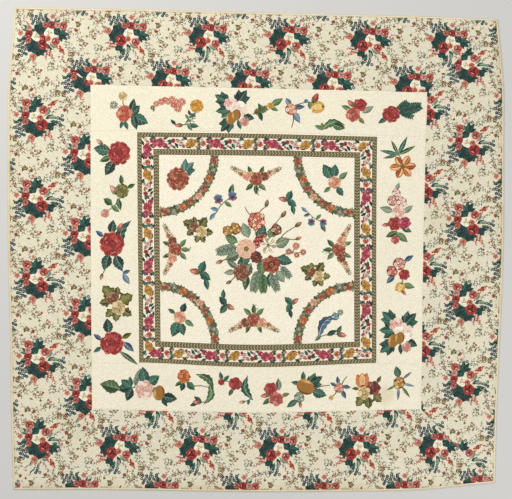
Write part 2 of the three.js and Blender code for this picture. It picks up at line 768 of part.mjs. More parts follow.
    ["fern", 14, -130, 122, -88, "green"],
    ["fern", 58, -134, 116, -68, "grey"],
    ["fern", -122, 10, 138, 194, "grey"],
    ["stem", 46, 46, 154, 61, "olive"],
    ["bud", 119, 174, 22, 52, "brown"],
    ["stem", 92, 30, 142, 41, "olive"],
    ["bud", 196, 122, 22, 34, "coral"],
    ["stem", 96, 34, 110, 8, "olive"],
    ["bud", 198, 50, 18, 22, "coral"],
    ["stem", -14, 182, 74, 46, "olive"],
    ["bud", 32, 230, 21, 74, "brown"],
    ["stem", -222, -70, 112, 12, "olive"],
    ["bud", -214, -68, 20, 200, "coral"],
    ["stem", -170, -182, 62, 36, "olive"],
    ["bud", -164, -180, 17, 204, "brown"],
    ["fern", 112, -96, 96, -48, "grey"],
    ["stem", -40, 170, 74, 128, "olive"],
  ],
};

// Where each spray is sewn: its name, kind, across and up on the cut cloth, turn in degrees, scale.
// A scale below zero turns the spray's face over, left to right.
const PLACES = [
  ["top_rose", "rose_and_bud", -739, 770, 0, 1],
  ["top_lilac", "lilac_arch", -493, 799, 0, 1],
  ["top_gold", "gold_and_bud", -385, 748, 0, 1],
  ["top_peony", "peony_and_fruit", -117, 773, 12, 0.92],
  ["top_tail", "gold_tail", 70, 790, 0, 1],
  ["top_tulip", "tulip_and_blue", 268, 792, 0, 1],
  ["top_leaves", "leaf_pair", 413, 707, 0, 1],
  ["top_double_rose", "double_rose", 556, 799, 0, 1],
  ["top_carnation", "carnation", 791, 781, 0, 1],
  ["right_lily", "day_lily", 785, 516, 0, 1],
  ["right_tall", "tall_spray", 787, 188, 0, 1],
  ["right_ribbon", "ribbon_flowers", 803, -158, 0, 1],
  ["right_peony", "peony_and_fruit", 802, -472, 0, 1],
  ["bottom_mum", "fern_mum", 810, -752, 0, 1],
  ["bottom_brown", "brown_tulip", 622, -786, 0, 1],
  ["bottom_blue", "coral_sprig", 476, -770, 0, 1],
  ["bottom_fruit", "fruit_swag", 296, -781, 0, 1],
  ["bottom_roses", "double_rose", 96, -790, 60, 1],
  ["bottom_dark_rose", "rose_and_sickle", -100, -771, 0, 1],
  ["bottom_fern", "fern_and_bud", -330, -774, 0, 1],
  ["bottom_swag", "rose_swag", -680, -770, 0, 1],
  ["left_stalk", "peony_stalk", -809, -530, 0, 1],
  ["left_olive", "olive_rose", -798, -303, 0, 1],
  ["left_tall", "peony_tall", -800, 6, 0, 1],
  ["left_bud", "olive_bud", -793, 282, 0, 1],
  ["left_peony", "peony", -797, 521, 0, 1],
  ["corner_mum", "corner_mum", -427, 399, 0, 1],
  ["corner_pink", "corner_rose", 427, 391, 0, 1],
  ["corner_coral", "corner_rose", -442, -395, 190, -1],
  ["corner_vine", "blue_vine", 421, -418, 0, 1],
  ["spray_top", "triangle", 0, 400, 0, 1.06],
  ["spray_right", "triangle", 471, 0, 270, 1.06],
  ["spray_bottom", "triangle", -12, -394, 180, 1.06],
  ["spray_left", "triangle", -469, 0, 90, 1.06],
  ["field_blue", "blue_sprig", -180, 276, 0, 1],
  ["field_olive", "olive_rose", -328, 112, 27, 0.78],
  ["field_bud", "bud_and_leaf", 176, 270, 0, 1],
  ["field_blue_small", "blue_sprig", 334, 158, 190, -0.8],
  ["field_pink", "bud_and_leaf", -318, -132, 0, 1.2],
  ["field_dark_bud", "bud_and_leaf", -166, -300, 166, 1],
  ["field_brown", "olive_rose", 332, -136, 30, 0.74],
  ["field_small_bud", "bud_and_leaf", 202, -300, 24, -0.9],
  ["bouquet", "bouquet", 24, 6, 0, 1],
];

function spray([name, kind, across, up, turn, scale]) {
  const turned = (points, degrees, dx, dy) => {
    const [c, s] = [Math.cos((degrees * Math.PI) / 180), Math.sin((degrees * Math.PI) / 180)];
    return points.map(([x, y]) => [dx + c * x - s * y, dy + s * x + c * y]);
  };
  const size = Math.abs(scale);
  const outlines = SPRAYS[kind].map(([what, x, y, length, angle]) => {
    const own = turned(OUTLINES[what](length), angle, x, y);
    const sized = own.map(([px, py]) => [px * size * Math.sign(scale), py * size]);
    return turned(scale < 0 ? sized.reverse() : sized, turn, across, up);
  });
  return sewnOn(name, outlines, COLOURS[SPRAYS[kind][0][5]]);
}

const sides = ["top", "right", "bottom", "left"];
const quilt = new THREE.Group();
quilt.add(
  body(),
  ...sides.map(binding),
  ...sides.map(frameStrip),
  garland("garland_top_left", -1, 1),
  garland("garland_top_right", 1, 1),
  garland("garland_bottom_right", 1, -1),
  garland("garland_bottom_left", -1, -1),
  ...PLACES.map(spray)
);

// The origin goes under the middle of the whole quilt.
const middle = new THREE.Box3().setFromObject(quilt).getCenter(new THREE.Vector3());
quilt.position.set(-middle.x, -middle.y, 0);

export default quilt;
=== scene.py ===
"""Looks of a chintz applique quilt that lies face up: quilted ground cloths, printed chintz, binding,
striped frame, garlands and sprays. Cloth is drawn flat in millimetres, square as it was cut, and
cloth() moves each point to where the quilt's use has pulled it. World units are metres."""

import math
import random

import bpy
import numpy as np
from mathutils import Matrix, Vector
from mathutils.bvhtree import BVHTree
from mathutils.geometry import delaunay_2d_cdt


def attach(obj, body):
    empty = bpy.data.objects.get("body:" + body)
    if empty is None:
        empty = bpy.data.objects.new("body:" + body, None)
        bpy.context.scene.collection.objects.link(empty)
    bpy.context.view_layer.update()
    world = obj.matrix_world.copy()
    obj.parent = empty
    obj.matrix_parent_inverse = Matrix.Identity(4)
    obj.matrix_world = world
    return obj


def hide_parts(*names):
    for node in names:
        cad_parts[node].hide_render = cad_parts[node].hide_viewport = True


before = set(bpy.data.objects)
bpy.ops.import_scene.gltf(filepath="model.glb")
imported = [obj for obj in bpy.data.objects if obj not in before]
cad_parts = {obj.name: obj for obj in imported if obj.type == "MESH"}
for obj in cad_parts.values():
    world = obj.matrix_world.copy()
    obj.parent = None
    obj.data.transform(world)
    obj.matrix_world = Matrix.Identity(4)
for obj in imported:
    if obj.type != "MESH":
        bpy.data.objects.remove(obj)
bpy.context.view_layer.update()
MM = 0.001

# Half sizes of the cut cloth, in millimetres: the quilt's edge, the chintz's inner seam, the frame's
# outer side
EDGE = (1372.0, 1344.0)
SEAM = (935.0, 904.0)
FRAME = (669.0, 641.0)
FRAME_WIDTH = 122.0
BINDING_WIDTH = 10.0
BINDING_HEIGHT = 5.4
BODY_THICKNESS = 5.0
GARLAND_RADIUS = 312.0
GARLAND_WIDTH = 56.0
SHIFT = (-0.688, -0.409)  # brings the middle of the quilt over the frame's origin
PITCH = 12.5  # between two lines of quilting
STITCH = 4.2
RELIEF = 0.9  # from the quilting's valleys to its crests
PUFF = 0.8  # share of the relief that only shades

# Where use has pulled the edges, at each station, and the corners and middles of the two squares
EDGES = {
    "left": [-1348, -1385, -1387, -1386, -1371, -1369, -1357],
    "right": [1354, 1387, 1388, 1385, 1359, 1348, 1337],
    "top": [1356, 1347, 1344, 1327, 1311, 1305, 1289],
    "bottom": [-1343, -1343, -1346, -1355, -1351, -1343, -1303],
}
SQUARES = {
    "seam": {
        "topLeft": (-926, 922), "top": (0, 903), "topRight": (958, 881), "right": (937, 0),
        "bottomRight": (926, -895), "bottom": (0, -913), "bottomLeft": (-918, -895), "left": (-924, 0),
    },
    "frame": {
        "topLeft": (-664, 656), "top": (0, 648), "topRight": (678, 631), "right": (673, 0),
        "bottomRight": (673, -634), "bottom": (0, -657), "bottomLeft": (-653, -631), "left": (-659, 0),
    },
}
STATIONS = [np.array([-e, -s, -f, 0.0, f, s, e]) for e, s, f in zip(EDGE, SEAM, FRAME)]
MIDDLE = 3
LAST = 6


def hermite(stations, values, t):
    """The smooth curve through values (one row a station) at t."""
    i = np.searchsorted(stations[1:-1], t, side="left")
    slopes = np.empty_like(values)
    slopes[1:-1] = (values[2:] - values[:-2]) / (stations[2:] - stations[:-2])[:, None]
    slopes[0] = (values[1] - values[0]) / (stations[1] - stations[0])
    slopes[-1] = (values[-1] - values[-2]) / (stations[-1] - stations[-2])
    cols = np.arange(values.shape[1]) if values.shape[1] == len(t) else np.zeros(len(t), int)
    span = stations[i + 1] - stations[i]
    s = (t - stations[i]) / span
    s2, s3 = s * s, s * s * s
    return (
        (2 * s3 - 3 * s2 + 1) * values[i, cols]
        + (s3 - 2 * s2 + s) * span * slopes[i, cols]
        + (3 * s2 - 2 * s3) * values[i + 1, cols]
        + (s3 - s2) * span * slopes[i + 1, cols]
    )


def crossing(i, j):
    """Where the lines of station i across and j up cross on the quilt as it lies."""
    across, up = i - MIDDLE, j - MIDDLE
    ring = max(abs(across), abs(up))
    if ring == 0:
        return (0.0, 0.0)
    if ring == MIDDLE:
        x = EDGES["left"][LAST - j] if i == 0 else EDGES["right"][LAST - j] if i == LAST else STATIONS[0][i]
        y = EDGES["bottom"][i] if j == 0 else EDGES["top"][i] if j == LAST else STATIONS[1][j]
        return (x, y)
    square = SQUARES["seam" if ring == 2 else "frame"]
    level = abs(up) == ring
    side = ("top" if up > 0 else "bottom") if level else ("right" if across > 0 else "left")
    along = across if level else up
    stations = STATIONS[0 if level else 1]
    share = abs(stations[MIDDLE + along] / stations[MIDDLE + ring])
    if level:
        corner = side + ("Left" if along < 0 else "Right")
    else:
        corner = ("bottom" if along < 0 else "top") + side.capitalize()
    a, b = square[side], square[corner]
    return (a[0] + (b[0] - a[0]) * share, a[1] + (b[1] - a[1]) * share)


CROSSINGS = np.array([[crossing(i, j) for j in range(LAST + 1)] for i in range(LAST + 1)], float)


def cloth(u, v):
    """Places on the quilt as it lies, in millimetres, for points of the cut cloth."""
    found = []
    for k in (0, 1):
        columns = np.array([hermite(STATIONS[1], row[:, k][:, None], v) for row in CROSSINGS])
        found.append(hermite(STATIONS[0], columns, u) + SHIFT[k])
    return found[0], found[1]


WAVES = [  # across, along, phase, height
    (1480.0, 1150.0, 0.6, 0.9),
    (640.0, -910.0, 2.1, 0.7),
    (-430.0, 520.0, 4.0, 0.4),
]
WAVE_LENGTH, WAVE_HEIGHT, WAVE_REACH = 395.0, 1.5, 330.0  # of the loose border's waves
HEM_SHARE = 0.84  # of the thickness at the binding


def top_height(u, v):
    """Height of the layers' top, without the quilting."""
    z = np.full_like(u, BODY_THICKNESS)
    for across, along, phase, height in WAVES:
        z += height * (1 + np.sin(2 * np.pi * (u / across + v / along) + phase)) * 0.5
    to_edge = np.minimum(EDGE[0] - np.abs(u), EDGE[1] - np.abs(v))
    loose = np.maximum(0, 1 - to_edge / WAVE_REACH)
    round_ = np.arctan2(v, u) * (EDGE[0] + EDGE[1]) / 2
    z += WAVE_HEIGHT * loose * (1 + np.sin(2 * np.pi * round_ / WAVE_LENGTH)) * 0.5
    hem = np.minimum(1, to_edge / (4 * BINDING_WIDTH))
    low = BODY_THICKNESS * HEM_SHARE
    return low + (z - low) * hem


def wobble(u, v):
    """How far a line of quilting strays from straight."""
    return 1.3 * np.sin(u / 171 + 1.0) * np.cos(v / 143) + 0.8 * np.sin((u + 2 * v) / 97)


class Quilting:
    """Parallel lines of quilting on one ground cloth, at an angle in degrees."""

    def __init__(self, angle):
        a = math.radians(angle)
        self.normal = (-math.sin(a), math.cos(a))
        self.along = (math.cos(a), math.sin(a))

    def phase(self, u, v):
        return (u * self.normal[0] + v * self.normal[1] + wobble(u, v)) / PITCH

    def relief(self, u, v):
        """Depth below the crests; the lines of stitches are the valleys."""
        turn = self.phase(u, v)
        rise = 1 - np.abs(2 * (turn - np.round(turn)))
        return -RELIEF * rise

    def stitches(self, u, v):
        return (u * self.along[0] + v * self.along[1]) / STITCH

    def spans(self, corners, inset):
        """Where each valley and crest runs inside a convex outline: across, from, to."""
        corners = np.array(corners, float)
        n, d = np.array(self.normal), np.array(self.along)
        across = corners @ n
        for k in range(math.ceil(across.min() / PITCH * 2), math.floor(across.max() / PITCH * 2) + 1):
            c = k * PITCH / 2
            low, high = -1e9, 1e9
            for a, b in zip(corners, np.roll(corners, -1, axis=0)):
                side = np.array([-(b - a)[1], (b - a)[0]])
                side = side / np.linalg.norm(side)
                rate = side @ d
                gap = side @ (n * c - a) - inset
                if abs(rate) < 1e-9:
                    if gap < 0:
                        low, high = 1.0, 0.0
                elif rate > 0:
                    low = max(low, -gap / rate)
                else:
                    high = min(high, -gap / rate)
            if high - low > 3:
                yield c, low, high

    def places(self, c, t):
        u = self.normal[0] * c + self.along[0] * t
        v = self.normal[1] * c + self.along[1] * t
        w = wobble(u, v)
        return np.stack([u - self.normal[0] * w, v - self.normal[1] * w], 1)

    def lines(self, corners, inset, step=58.0):
        """The valleys and crests inside a convex outline, as lists of points."""
        return [self.places(c, np.linspace(low, high, max(1, round((high - low) / step)) + 1))
                for c, low, high in self.spans(corners, inset)]

    def dots(self, corners, inset, step=24.0):
        """Loose points on the valleys and crests, level with those of the next lines."""
        found = [self.places(c, np.arange(math.ceil(low / step), math.floor(high / step) + 1) * step)
                 for c, low, high in self.spans(corners, inset)]
        return np.concatenate(found)


def linear(hex_code):
    """Red, green and blue in linear light."""
    found = []
    for k in (0, 2, 4):
        c = int(hex_code[k : k + 2], 16) / 255
        found.append(c / 12.92 if c <= 0.04045 else ((c + 0.055) / 1.055) ** 2.4)
    return tuple(found)


# Inks of the prints, from dark to pale
INKS = {
    "red": ("4a1014", "8e2528", "b04040", "d8887a"),
    "crimson": ("5e1222", "962c40", "bc566a", "ecbcbc"),
    "rose": ("682222", "a84a44", "c8766a", "eabfae"),
    "pink": ("84443e", "bc7e72", "d6a596", "f0d8ca"),
    "salmon": ("8a4a3a", "ba7260", "d09480", "e8c2ac"),
    "coral": ("842c22", "b04c3c", "cc7c62", "f0d2b4"),
    "peach": ("984c34", "c8866a", "e2b496", "f4e0c6"),
    "cream": ("7c6234", "b89c68", "dcc898", "f4e8c8"),
    "white": ("9c4c4c", "cfa096", "ead4c6", "faf3e4"),
    "ivory": ("6c6a4a", "bdb493", "ece2c6", "fbf6e6"),
    "gold": ("7c4c14", "ba7e2a", "d6a64c", "ecd490"),
    "ochre": ("684416", "9c6c2c", "b88a48", "d8b87c"),
    "orange": ("6e2a12", "ac542a", "cc8048", "eac08c"),
    "brown": ("3e1e16", "6e3e2c", "9c6a50", "d4b092"),
    "rust": ("501a12", "8a3c2c", "ae6a50", "e2b89c"),
    "maroon": ("32100f", "5e2220", "8a4640", "bc8474"),
    "olive": ("363816", "62622c", "86864c", "b4b07a"),
    "green": ("20402a", "466a44", "6c8e60", "a0b890"),
    "forest": ("0d2b2c", "17403f", "2d6058", "7ba594"),
    "teal": ("0e2a2a", "1c4b42", "38705f", "86ac96"),
    "sage": ("46584c", "70826e", "96a58e", "c2cab4"),
    "grey": ("565c54", "7e8474", "a2a692", "c8c8b4"),
    "blue": ("263c54", "4a6c88", "7c9cae", "bccdd2"),
    "bluegreen": ("1a3c40", "34645f", "628c82", "aac6ba"),
    "navy": ("14222a", "22363f", "5c7680", "a8b6b4"),
    "lilac": ("4c2c3e", "845a70", "ac88a0", "d8c2ca"),
    "twig": ("4e4028", "7c6a48", "a08e68", "c4b890"),
}
PAINTS = {name: [linear(h) for h in tones] for name, tones in INKS.items()}


class Print:
    """Outlines in ink on the cut cloth, later ones over earlier ones. Outlines marked cut make up
    the shape of a piece of cloth that is cut out."""

    def __init__(self, ground=(0.5, 0.5, 0.5), flowers=18.0, leaves=62.0):
        self.outlines = []
        self.inks = []
        self.cuts = []
        self.frames = []
        self.flowers = flowers  # the radius and the length from which flowers and leaves are drawn in full
        self.leaves = leaves
        self.ground = ground

    def push(self, x, y, turn=0.0, scale=1.0, flip=1.0):
        self.frames.append((x, y, scale, math.radians(turn), flip))

    def pop(self):
        self.frames.pop()

    def add(self, points, ink, cut=False):
        p = np.asarray(points, float)
        for x, y, scale, turn, flip in reversed(self.frames):
            c, s = math.cos(turn), math.sin(turn)
            q = p * (scale * flip, scale)
            p = np.stack([x + c * q[:, 0] - s * q[:, 1], y + s * q[:, 0] + c * q[:, 1]], 1)
        ahead = np.roll(p, -1, axis=0)
        if (p[:, 0] * ahead[:, 1] - p[:, 1] * ahead[:, 0]).sum() < 0:
            p = p[::-1]
        self.outlines.append(p)
        self.inks.append(ink)
        self.cuts.append(cut)


def disc(x, y, r, count, lobes=0, depth=0.0, phase=0.0, flat=1.0, turn=0.0):
    a = np.arange(count) * 2 * np.pi / count
    rr = r * (1 + depth * np.cos(lobes * (a - phase)))
    px, py = rr * np.cos(a), rr * flat * np.sin(a)
    c, s = math.cos(turn), math.sin(turn)
    return np.stack([x + c * px - s * py, y + s * px + c * py], 1)


def crescent(x, y, r, thick, middle, spread, count=5):
    """A petal's edge: part of a ring round x, y, in degrees, that thins to both ends."""
    a = np.radians(np.linspace(middle - spread / 2, middle + spread / 2, count))
    t = np.linspace(0, 1, count)[1:-1]
    inner = r - thick * np.sin(np.pi * t)
    out = np.stack([x + r * np.cos(a), y + r * np.sin(a)], 1)
    back = np.stack([x + inner * np.cos(a[1:-1]), y + inner * np.sin(a[1:-1])], 1)[::-1]
    return np.concatenate([out, back])


def wedge(x, y, r0, r1, angle, half):
    """A narrow kite from r0 to r1 from x, y, at an angle in degrees."""
    a = math.radians(angle)
    c, s = math.cos(a), math.sin(a)
    mid = r0 + (r1 - r0) * 0.62
    local = [(r0, 0), (mid, -half), (r1, 0), (mid, half)]
    return np.array([(x + c * p - s * q, y + s * p + c * q) for p, q in local])


def strip(points, width, end=None):
    """A band along points, narrowing to its end where end is given."""
    p = np.asarray(points, float)
    d = np.gradient(p, axis=0)
    d /= np.maximum(np.linalg.norm(d, axis=1), 1e-9)[:, None]
    n = np.stack([-d[:, 1], d[:, 0]], 1)
    w = np.linspace(width, width if end is None else end, len(p))[:, None] / 2
    return np.concatenate([p + n * w, (p - n * w)[::-1]])


def bloom(k, r, paint, rng, rings, tones, heart):
    """A full flower: rings of petals from the outermost in, as count, reach, size, streaks. tones are
    the inks of the petals, their rims and their shade."""
    body, rims, shades = tones
    k.add(disc(0, 0, r * 0.84, 10), paint[shades[0]], True)
    turn = rng.uniform(0, 90)
    for ring, (count, reach, size, streaks) in enumerate(rings):
        for i in range(count):
            a = turn + ring * 25 + 360 / count * i + rng.uniform(-0.16, 0.16) * 360 / count
            s = r * size * rng.uniform(0.84, 1.1)
            d = r * reach - s
            x, y = d * math.cos(math.radians(a)), d * math.sin(math.radians(a))
            small = s < 9.5
            around = math.radians(a)
            petal = disc(x, y, s, 6 if small else 8, 0 if small else 3, 0.09, around, 1.0, around)
            k.add(petal, paint[body[(i + ring) % len(body)]], ring == 0)
            points = 4 if small else 5
            k.add(crescent(x, y, s * 0.95, s * 0.3, a + rng.uniform(-30, 30), rng.uniform(70, 130), points),
                  paint[rims[i % len(rims)]])
            k.add(crescent(x, y, s * 0.97, s * 0.62, a + 180 + rng.uniform(-20, 20), 170, points),
                  paint[shades[i % len(shades)]])
            for j in range(streaks if s > 11 else 0):
                turned = a + (j - (streaks - 1) / 2) * 24
                k.add(wedge(x, y, -s * 0.4, s * 0.78, turned, s * 0.09), paint[shades[0]])
    k.add(disc(0, 0, r * heart, 6), paint[body[-1]])
    k.add(crescent(0, 0, r * heart * 0.9, r * heart * 0.5, turn, 170, 4), paint[rims[0]])
    k.add(disc(0, 0, r * heart * 0.4, 4), paint[shades[0]])


def draw_rose(k, r, paint, rng):
    dark, mid, light, pale = paint
    if r > k.flowers:
        rings = [(6, 1.0, 0.46, 0), (4, 0.66, 0.34, 0)]
        bloom(k, r, paint, rng, rings, ((1, 1, 2), (2, 3, 2), (0, 0)), 0.2)
        return
    turn = rng.uniform(0, 72)
    k.add(disc(0, 0, r, 10, 5, 0.07, math.radians(turn)), mid, True)
    for i in range(5):
        a = turn + 72 * i + rng.uniform(-5, 5)
        k.add(crescent(0, 0, r * 0.95, r * 0.3, a, 56, 4), light)
    k.add(disc(r * 0.03, r * 0.04, r * 0.62, 7), dark)
    for i in range(3):
        ink = pale if i == 1 else light
        k.add(crescent(0, r * 0.03, r * 0.54, r * 0.26, turn + 120 * i + 20, 92, 4), ink)
    k.add(disc(0, 0, r * 0.14, 4), mid)


def draw_peony(k, r, paint, rng):
    rings = [(9, 1.0, 0.35, 2), (7, 0.74, 0.3, 1), (5, 0.48, 0.25, 0)]
    bloom(k, r, paint, rng, rings, ((1, 2, 1), (2, 3, 2), (0, 0)), 0.16)


def draw_cabbage(k, r, paint, rng):
    """A full pale rose with darker lines between its petals."""
    if r < k.flowers:
        draw_rose(k, r, (paint[1], paint[2], paint[3], paint[3]), rng)
        return
    rings = [(7, 1.0, 0.42, 0), (5, 0.7, 0.34, 0), (4, 0.42, 0.25, 0)]
    bloom(k, r, paint, rng, rings, ((2, 3, 2), (3, 3), (1, 0)), 0.16)


def draw_ranunculus(k, r, paint, rng):
    """Close round rings of thin petals round a green eye."""
    dark, mid, light, pale = paint
    k.add(disc(0, 0, r, 22, 11, 0.03), light, True)
    for ring in range(5):
        reach = r * (0.97 - ring * 0.15)
        count = 9 - ring
        for i in range(count):
            a = 360 / count * i + ring * 23
            k.add(crescent(0, 0, reach, r * 0.045, a, 300 / count, 5), mid if (i + ring) % 3 else dark)
            k.add(crescent(0, 0, reach * 0.95, r * 0.06, a + 8, 250 / count, 5), pale)
    k.add(disc(0, 0, r * 0.27, 9), PAINTS["olive"][1])
    for i in range(8):
        a = i * 2.4
        d = r * 0.2 * math.sqrt(i / 8)
        k.add(disc(d * math.cos(a), d * math.sin(a), r * 0.05, 5), PAINTS["olive"][3 if i % 2 else 0])


def draw_anemone(k, r, paint, rng):
    rings = [(8, 1.0, 0.38, 2), (6, 0.72, 0.3, 1)]
    bloom(k, r, paint, rng, rings, ((1, 1, 2), (2, 1, 2), (0, 0)), 0.24)
    for i in range(7):
        a, d = i * 2.4, r * 0.19 * math.sqrt(i / 7)
        k.add(disc(d * math.cos(a), d * math.sin(a), r * 0.06, 5), PAINTS["olive"][2 if i % 2 else 0])


def draw_mum(k, r, paint, rng):
    rings = [(12, 1.0, 0.25, 1), (9, 0.78, 0.24, 1), (7, 0.54, 0.21, 0), (4, 0.3, 0.16, 0)]
    bloom(k, r, paint, rng, rings, ((1, 2, 1), (2, 3, 2), (0, 0, 1)), 0.1)


def draw_aster(k, r, paint, rng, count=9):
    """A single star flower."""
    dark, mid, light, pale = paint
    k.add(disc(0, 0, r * 0.8, 9), dark, True)
    turn = rng.uniform(0, 40)
    for i in range(count):
        a = turn + 360 / count * i
        k.add(wedge(0, 0, r * 0.12, r * rng.uniform(0.93, 1.05), a, r * 0.24), (mid, light)[i % 2], True)
        if r > 18:
            k.add(wedge(0, 0, r * 0.3, r * 0.88, a, r * 0.07), pale)
    k.add(disc(0, 0, r * 0.22, 6), PAINTS["cream"][3])
    k.add(disc(0, 0, r * 0.1, 5), dark)


def draw_floret(k, r, paint, rng):
    dark, mid, light, _ = paint
    if r > 14 and k.flowers < 20:
        draw_aster(k, r, paint, rng, 7)
        return
    k.add(disc(0, 0, r, 10, 5, 0.18, rng.uniform(0, 1.2)), mid, True)
    for i in range(3):
        k.add(wedge(0, 0, r * 0.3, r * 0.98, 120 * i + rng.uniform(0, 20), r * 0.24), light)
    k.add(disc(0, 0, r * 0.26, 4), dark)


def draw_cluster(k, r, paint, rng):
    """A head of many small star flowers."""
    dark, mid, light, pale = paint
    k.add(disc(0, 0, r * 0.86, 14, 7, 0.06, rng.uniform(0, 1)), dark, True)
    small = min(13.0, max(8.5, r * 0.36))
    count = int(0.92 * (r / small) ** 2)
    for i in range(count):
        d = (r - small) * math.sqrt((i + 0.3) / count)
        a = math.radians(137.5 * i)
        x, y = d * math.cos(a), d * math.sin(a)
        tone = (light, pale, light)[i % 3]
        k.add(disc(x, y, small * 1.04, 6, 0, 0.1, i), mid if i % 2 else dark, d > r * 0.55)
        k.add(disc(x, y, small * 0.82, 10, 5, 0.26, i * 0.7), tone)
        k.add(disc(x, y, small * 0.3, 4), PAINTS["cream"][3] if i % 2 else dark)


def draw_iris(k, r, paint, rng):
    """Blue upper petals over mauve lower ones."""
    dark, mid, light, pale = paint
    lower = PAINTS["lilac"]
    for x, y, s in ((-0.5, -0.42, 0.36), (0.52, -0.4, 0.36), (0.02, -0.62, 0.34)):
        k.add(disc(x * r, y * r, s * r, 9, 3, 0.1, x), lower[1], True)
        turn = math.degrees(math.atan2(y, x))
        k.add(crescent(x * r, y * r, s * r * 0.9, s * r * 0.4, turn, 150, 6), lower[2])
        k.add(wedge(0, 0, r * 0.2, r * 0.9, math.degrees(math.atan2(y, x)), r * 0.05), lower[0])
    k.add(disc(0, 0, r * 0.5, 9), lower[0], True)
    for x, y, s in ((-0.4, 0.3, 0.42), (0.42, 0.3, 0.42), (0.0, 0.5, 0.46)):
        k.add(disc(x * r, y * r, s * r, 10, 3, 0.06, y), mid, True)
        k.add(crescent(x * r, y * r, s * r * 0.9, s * r * 0.45, 60 + 60 * x, 150, 6), light)
        k.add(crescent(x * r, y * r, s * r * 0.8, s * r * 0.2, 90, 90, 5), pale)
        k.add(crescent(x * r, y * r, s * r * 0.95, s * r * 0.2, 250, 110, 5), dark)


def draw_lily(k, r, paint, rng):
    dark, mid, light, pale = paint
    k.add(disc(0, 0, r * 0.56, 12, 6, 0.1, 0), mid, True)
    for i in (0, 2, 4, 1, 3, 5):
        length = r * rng.uniform(0.92, 1.04)
        k.push(0, 0, 60 * i + rng.uniform(-9, 9))
        body = [(0, 0), (0.36, -0.3), (0.72, -0.27), (0.9, -0.12), (1, 0.04), (0.86, 0.2),
                (0.68, 0.28), (0.36, 0.27)]
        k.add(np.array(body) * length, light if i % 2 else mid, True)
        k.add(np.array([(0.12, 0), (0.42, 0.05), (0.9, 0.06), (0.68, 0.22), (0.4, 0.2)]) * length, pale)
        k.add(np.array([(0.1, -0.02), (0.5, -0.24), (0.84, -0.17), (0.5, -0.16)]) * length, dark)
        k.add(wedge(0, 0, length * 0.15, length * 0.9, 0, length * 0.035), dark)
        k.pop()
    k.add(disc(0, 0, r * 0.16, 7), PAINTS["olive"][1])
    for i in range(5):
        x, y = r * 0.2 * math.cos(i * 1.26), r * 0.2 * math.sin(i * 1.26)
        k.add(disc(x, y, r * 0.05, 5), PAINTS["olive"][0])


def draw_tulip(k, r, paint, rng):
    dark, mid, light, pale = paint
    cup = [(-0.78, 0), (-0.62, -0.5), (-0.2, -0.78), (0.35, -0.82), (1.02, -0.62), (0.8, -0.3), (1.08, 0),
           (0.8, 0.3), (1.02, 0.62), (0.35, 0.82), (-0.2, 0.78), (-0.62, 0.5)]
    k.add(np.array(cup) * r, mid, True)
    left = [(-0.74, 0.02), (-0.6, 0.46), (-0.18, 0.73), (0.35, 0.77), (0.96, 0.6), (0.4, 0.34), (-0.1, 0.2)]
    k.add(np.array(left) * r, light)
    k.add(np.array([(x, -y) for x, y in left]) * r, light)
    middle = [(-0.7, 0), (-0.2, -0.34), (0.5, -0.36), (1.04, 0), (0.5, 0.36), (-0.2, 0.34)]
    k.add(np.array(middle) * r, pale)
    for y in (-0.5, -0.2, 0.0, 0.2, 0.5):
        vein = [(-0.5, y * 0.5), (0.1, y * 0.9 - 0.03), (0.86, y * 0.9), (0.1, y * 0.9 + 0.03)]
        k.add(np.array(vein) * r, mid)
    k.add(np.array([(-0.76, 0), (-0.5, -0.3), (-0.36, 0), (-0.5, 0.3)]) * r, dark)


def draw_bud(k, r, paint, rng):
    dark, mid, light, pale = paint
    k.add(np.array([(-0.1, -0.12), (0.3, -0.46), (0.9, -0.56), (1.6, -0.34), (2, 0), (1.6, 0.34),
                    (0.9, 0.56), (0.3, 0.46), (-0.1, 0.12)]) * r, mid, True)
    k.add(np.array([(0.7, -0.1), (1.2, -0.3), (1.84, 0), (1.3, 0.34), (0.8, 0.36)]) * r, light)
    k.add(np.array([(0.9, 0.1), (1.3, 0.06), (1.8, 0.02), (1.3, 0.2)]) * r, pale)
    k.add(np.array([(0.6, -0.4), (1.1, -0.44), (1.5, -0.24), (1.0, -0.28)]) * r, dark)
    green = PAINTS["green"]
    for y in (-0.36, 0.0, 0.36):
        k.add(np.array([(-0.06, 0.0), (0.4, y - 0.14), (0.98, y * 1.1), (0.4, y + 0.14)]) * r, green[1])
    k.add(disc(0.1 * r, 0, 0.2 * r, 6), green[0])


def draw_fruit(k, r, paint, rng):
    dark, mid, light, pale = paint
    k.add(disc(0, 0, r, 14, 0, 0, 0, 0.78), mid, True)
    k.add(crescent(0, 0, r * 0.8, r * 0.4, 110, 120, 7) * (1.18, 0.95), light)
    k.add(crescent(0, 0, r * 0.66, r * 0.2, 105, 76, 5), pale)
    k.add(crescent(0, 0, r * 0.82, r * 0.22, 290, 130, 7) * (1.12, 0.9), dark)
    for _ in range(9):
        a, d = rng.uniform(0, 6.28), r * rng.uniform(0.1, 0.6)
        k.add(disc(d * math.cos(a), d * math.sin(a) * 0.7, r * 0.04, 4), dark)


def leaf_outline(length, half, bow=0.0, teeth=0.0, count=7):
    t = np.linspace(0, 1, count + 2)[1:-1]
    w = half * np.sin(np.pi * t**0.82) * (1 + teeth * (np.arange(count) % 2 * 2 - 1))
    mid = bow * np.sin(np.pi * t)
    right = np.stack([t, mid - w], 1)
    left = np.stack([t, mid + w], 1)[::-1]
    line = np.stack([np.r_[0, t, 1], np.r_[0, mid, 0]], 1)
    whole = np.concatenate([[(-0.03, -0.025)], right, [(1, 0)], left, [(-0.03, 0.025)]])
    upper = np.concatenate([line, left])
    return whole * length, upper * length, line * length


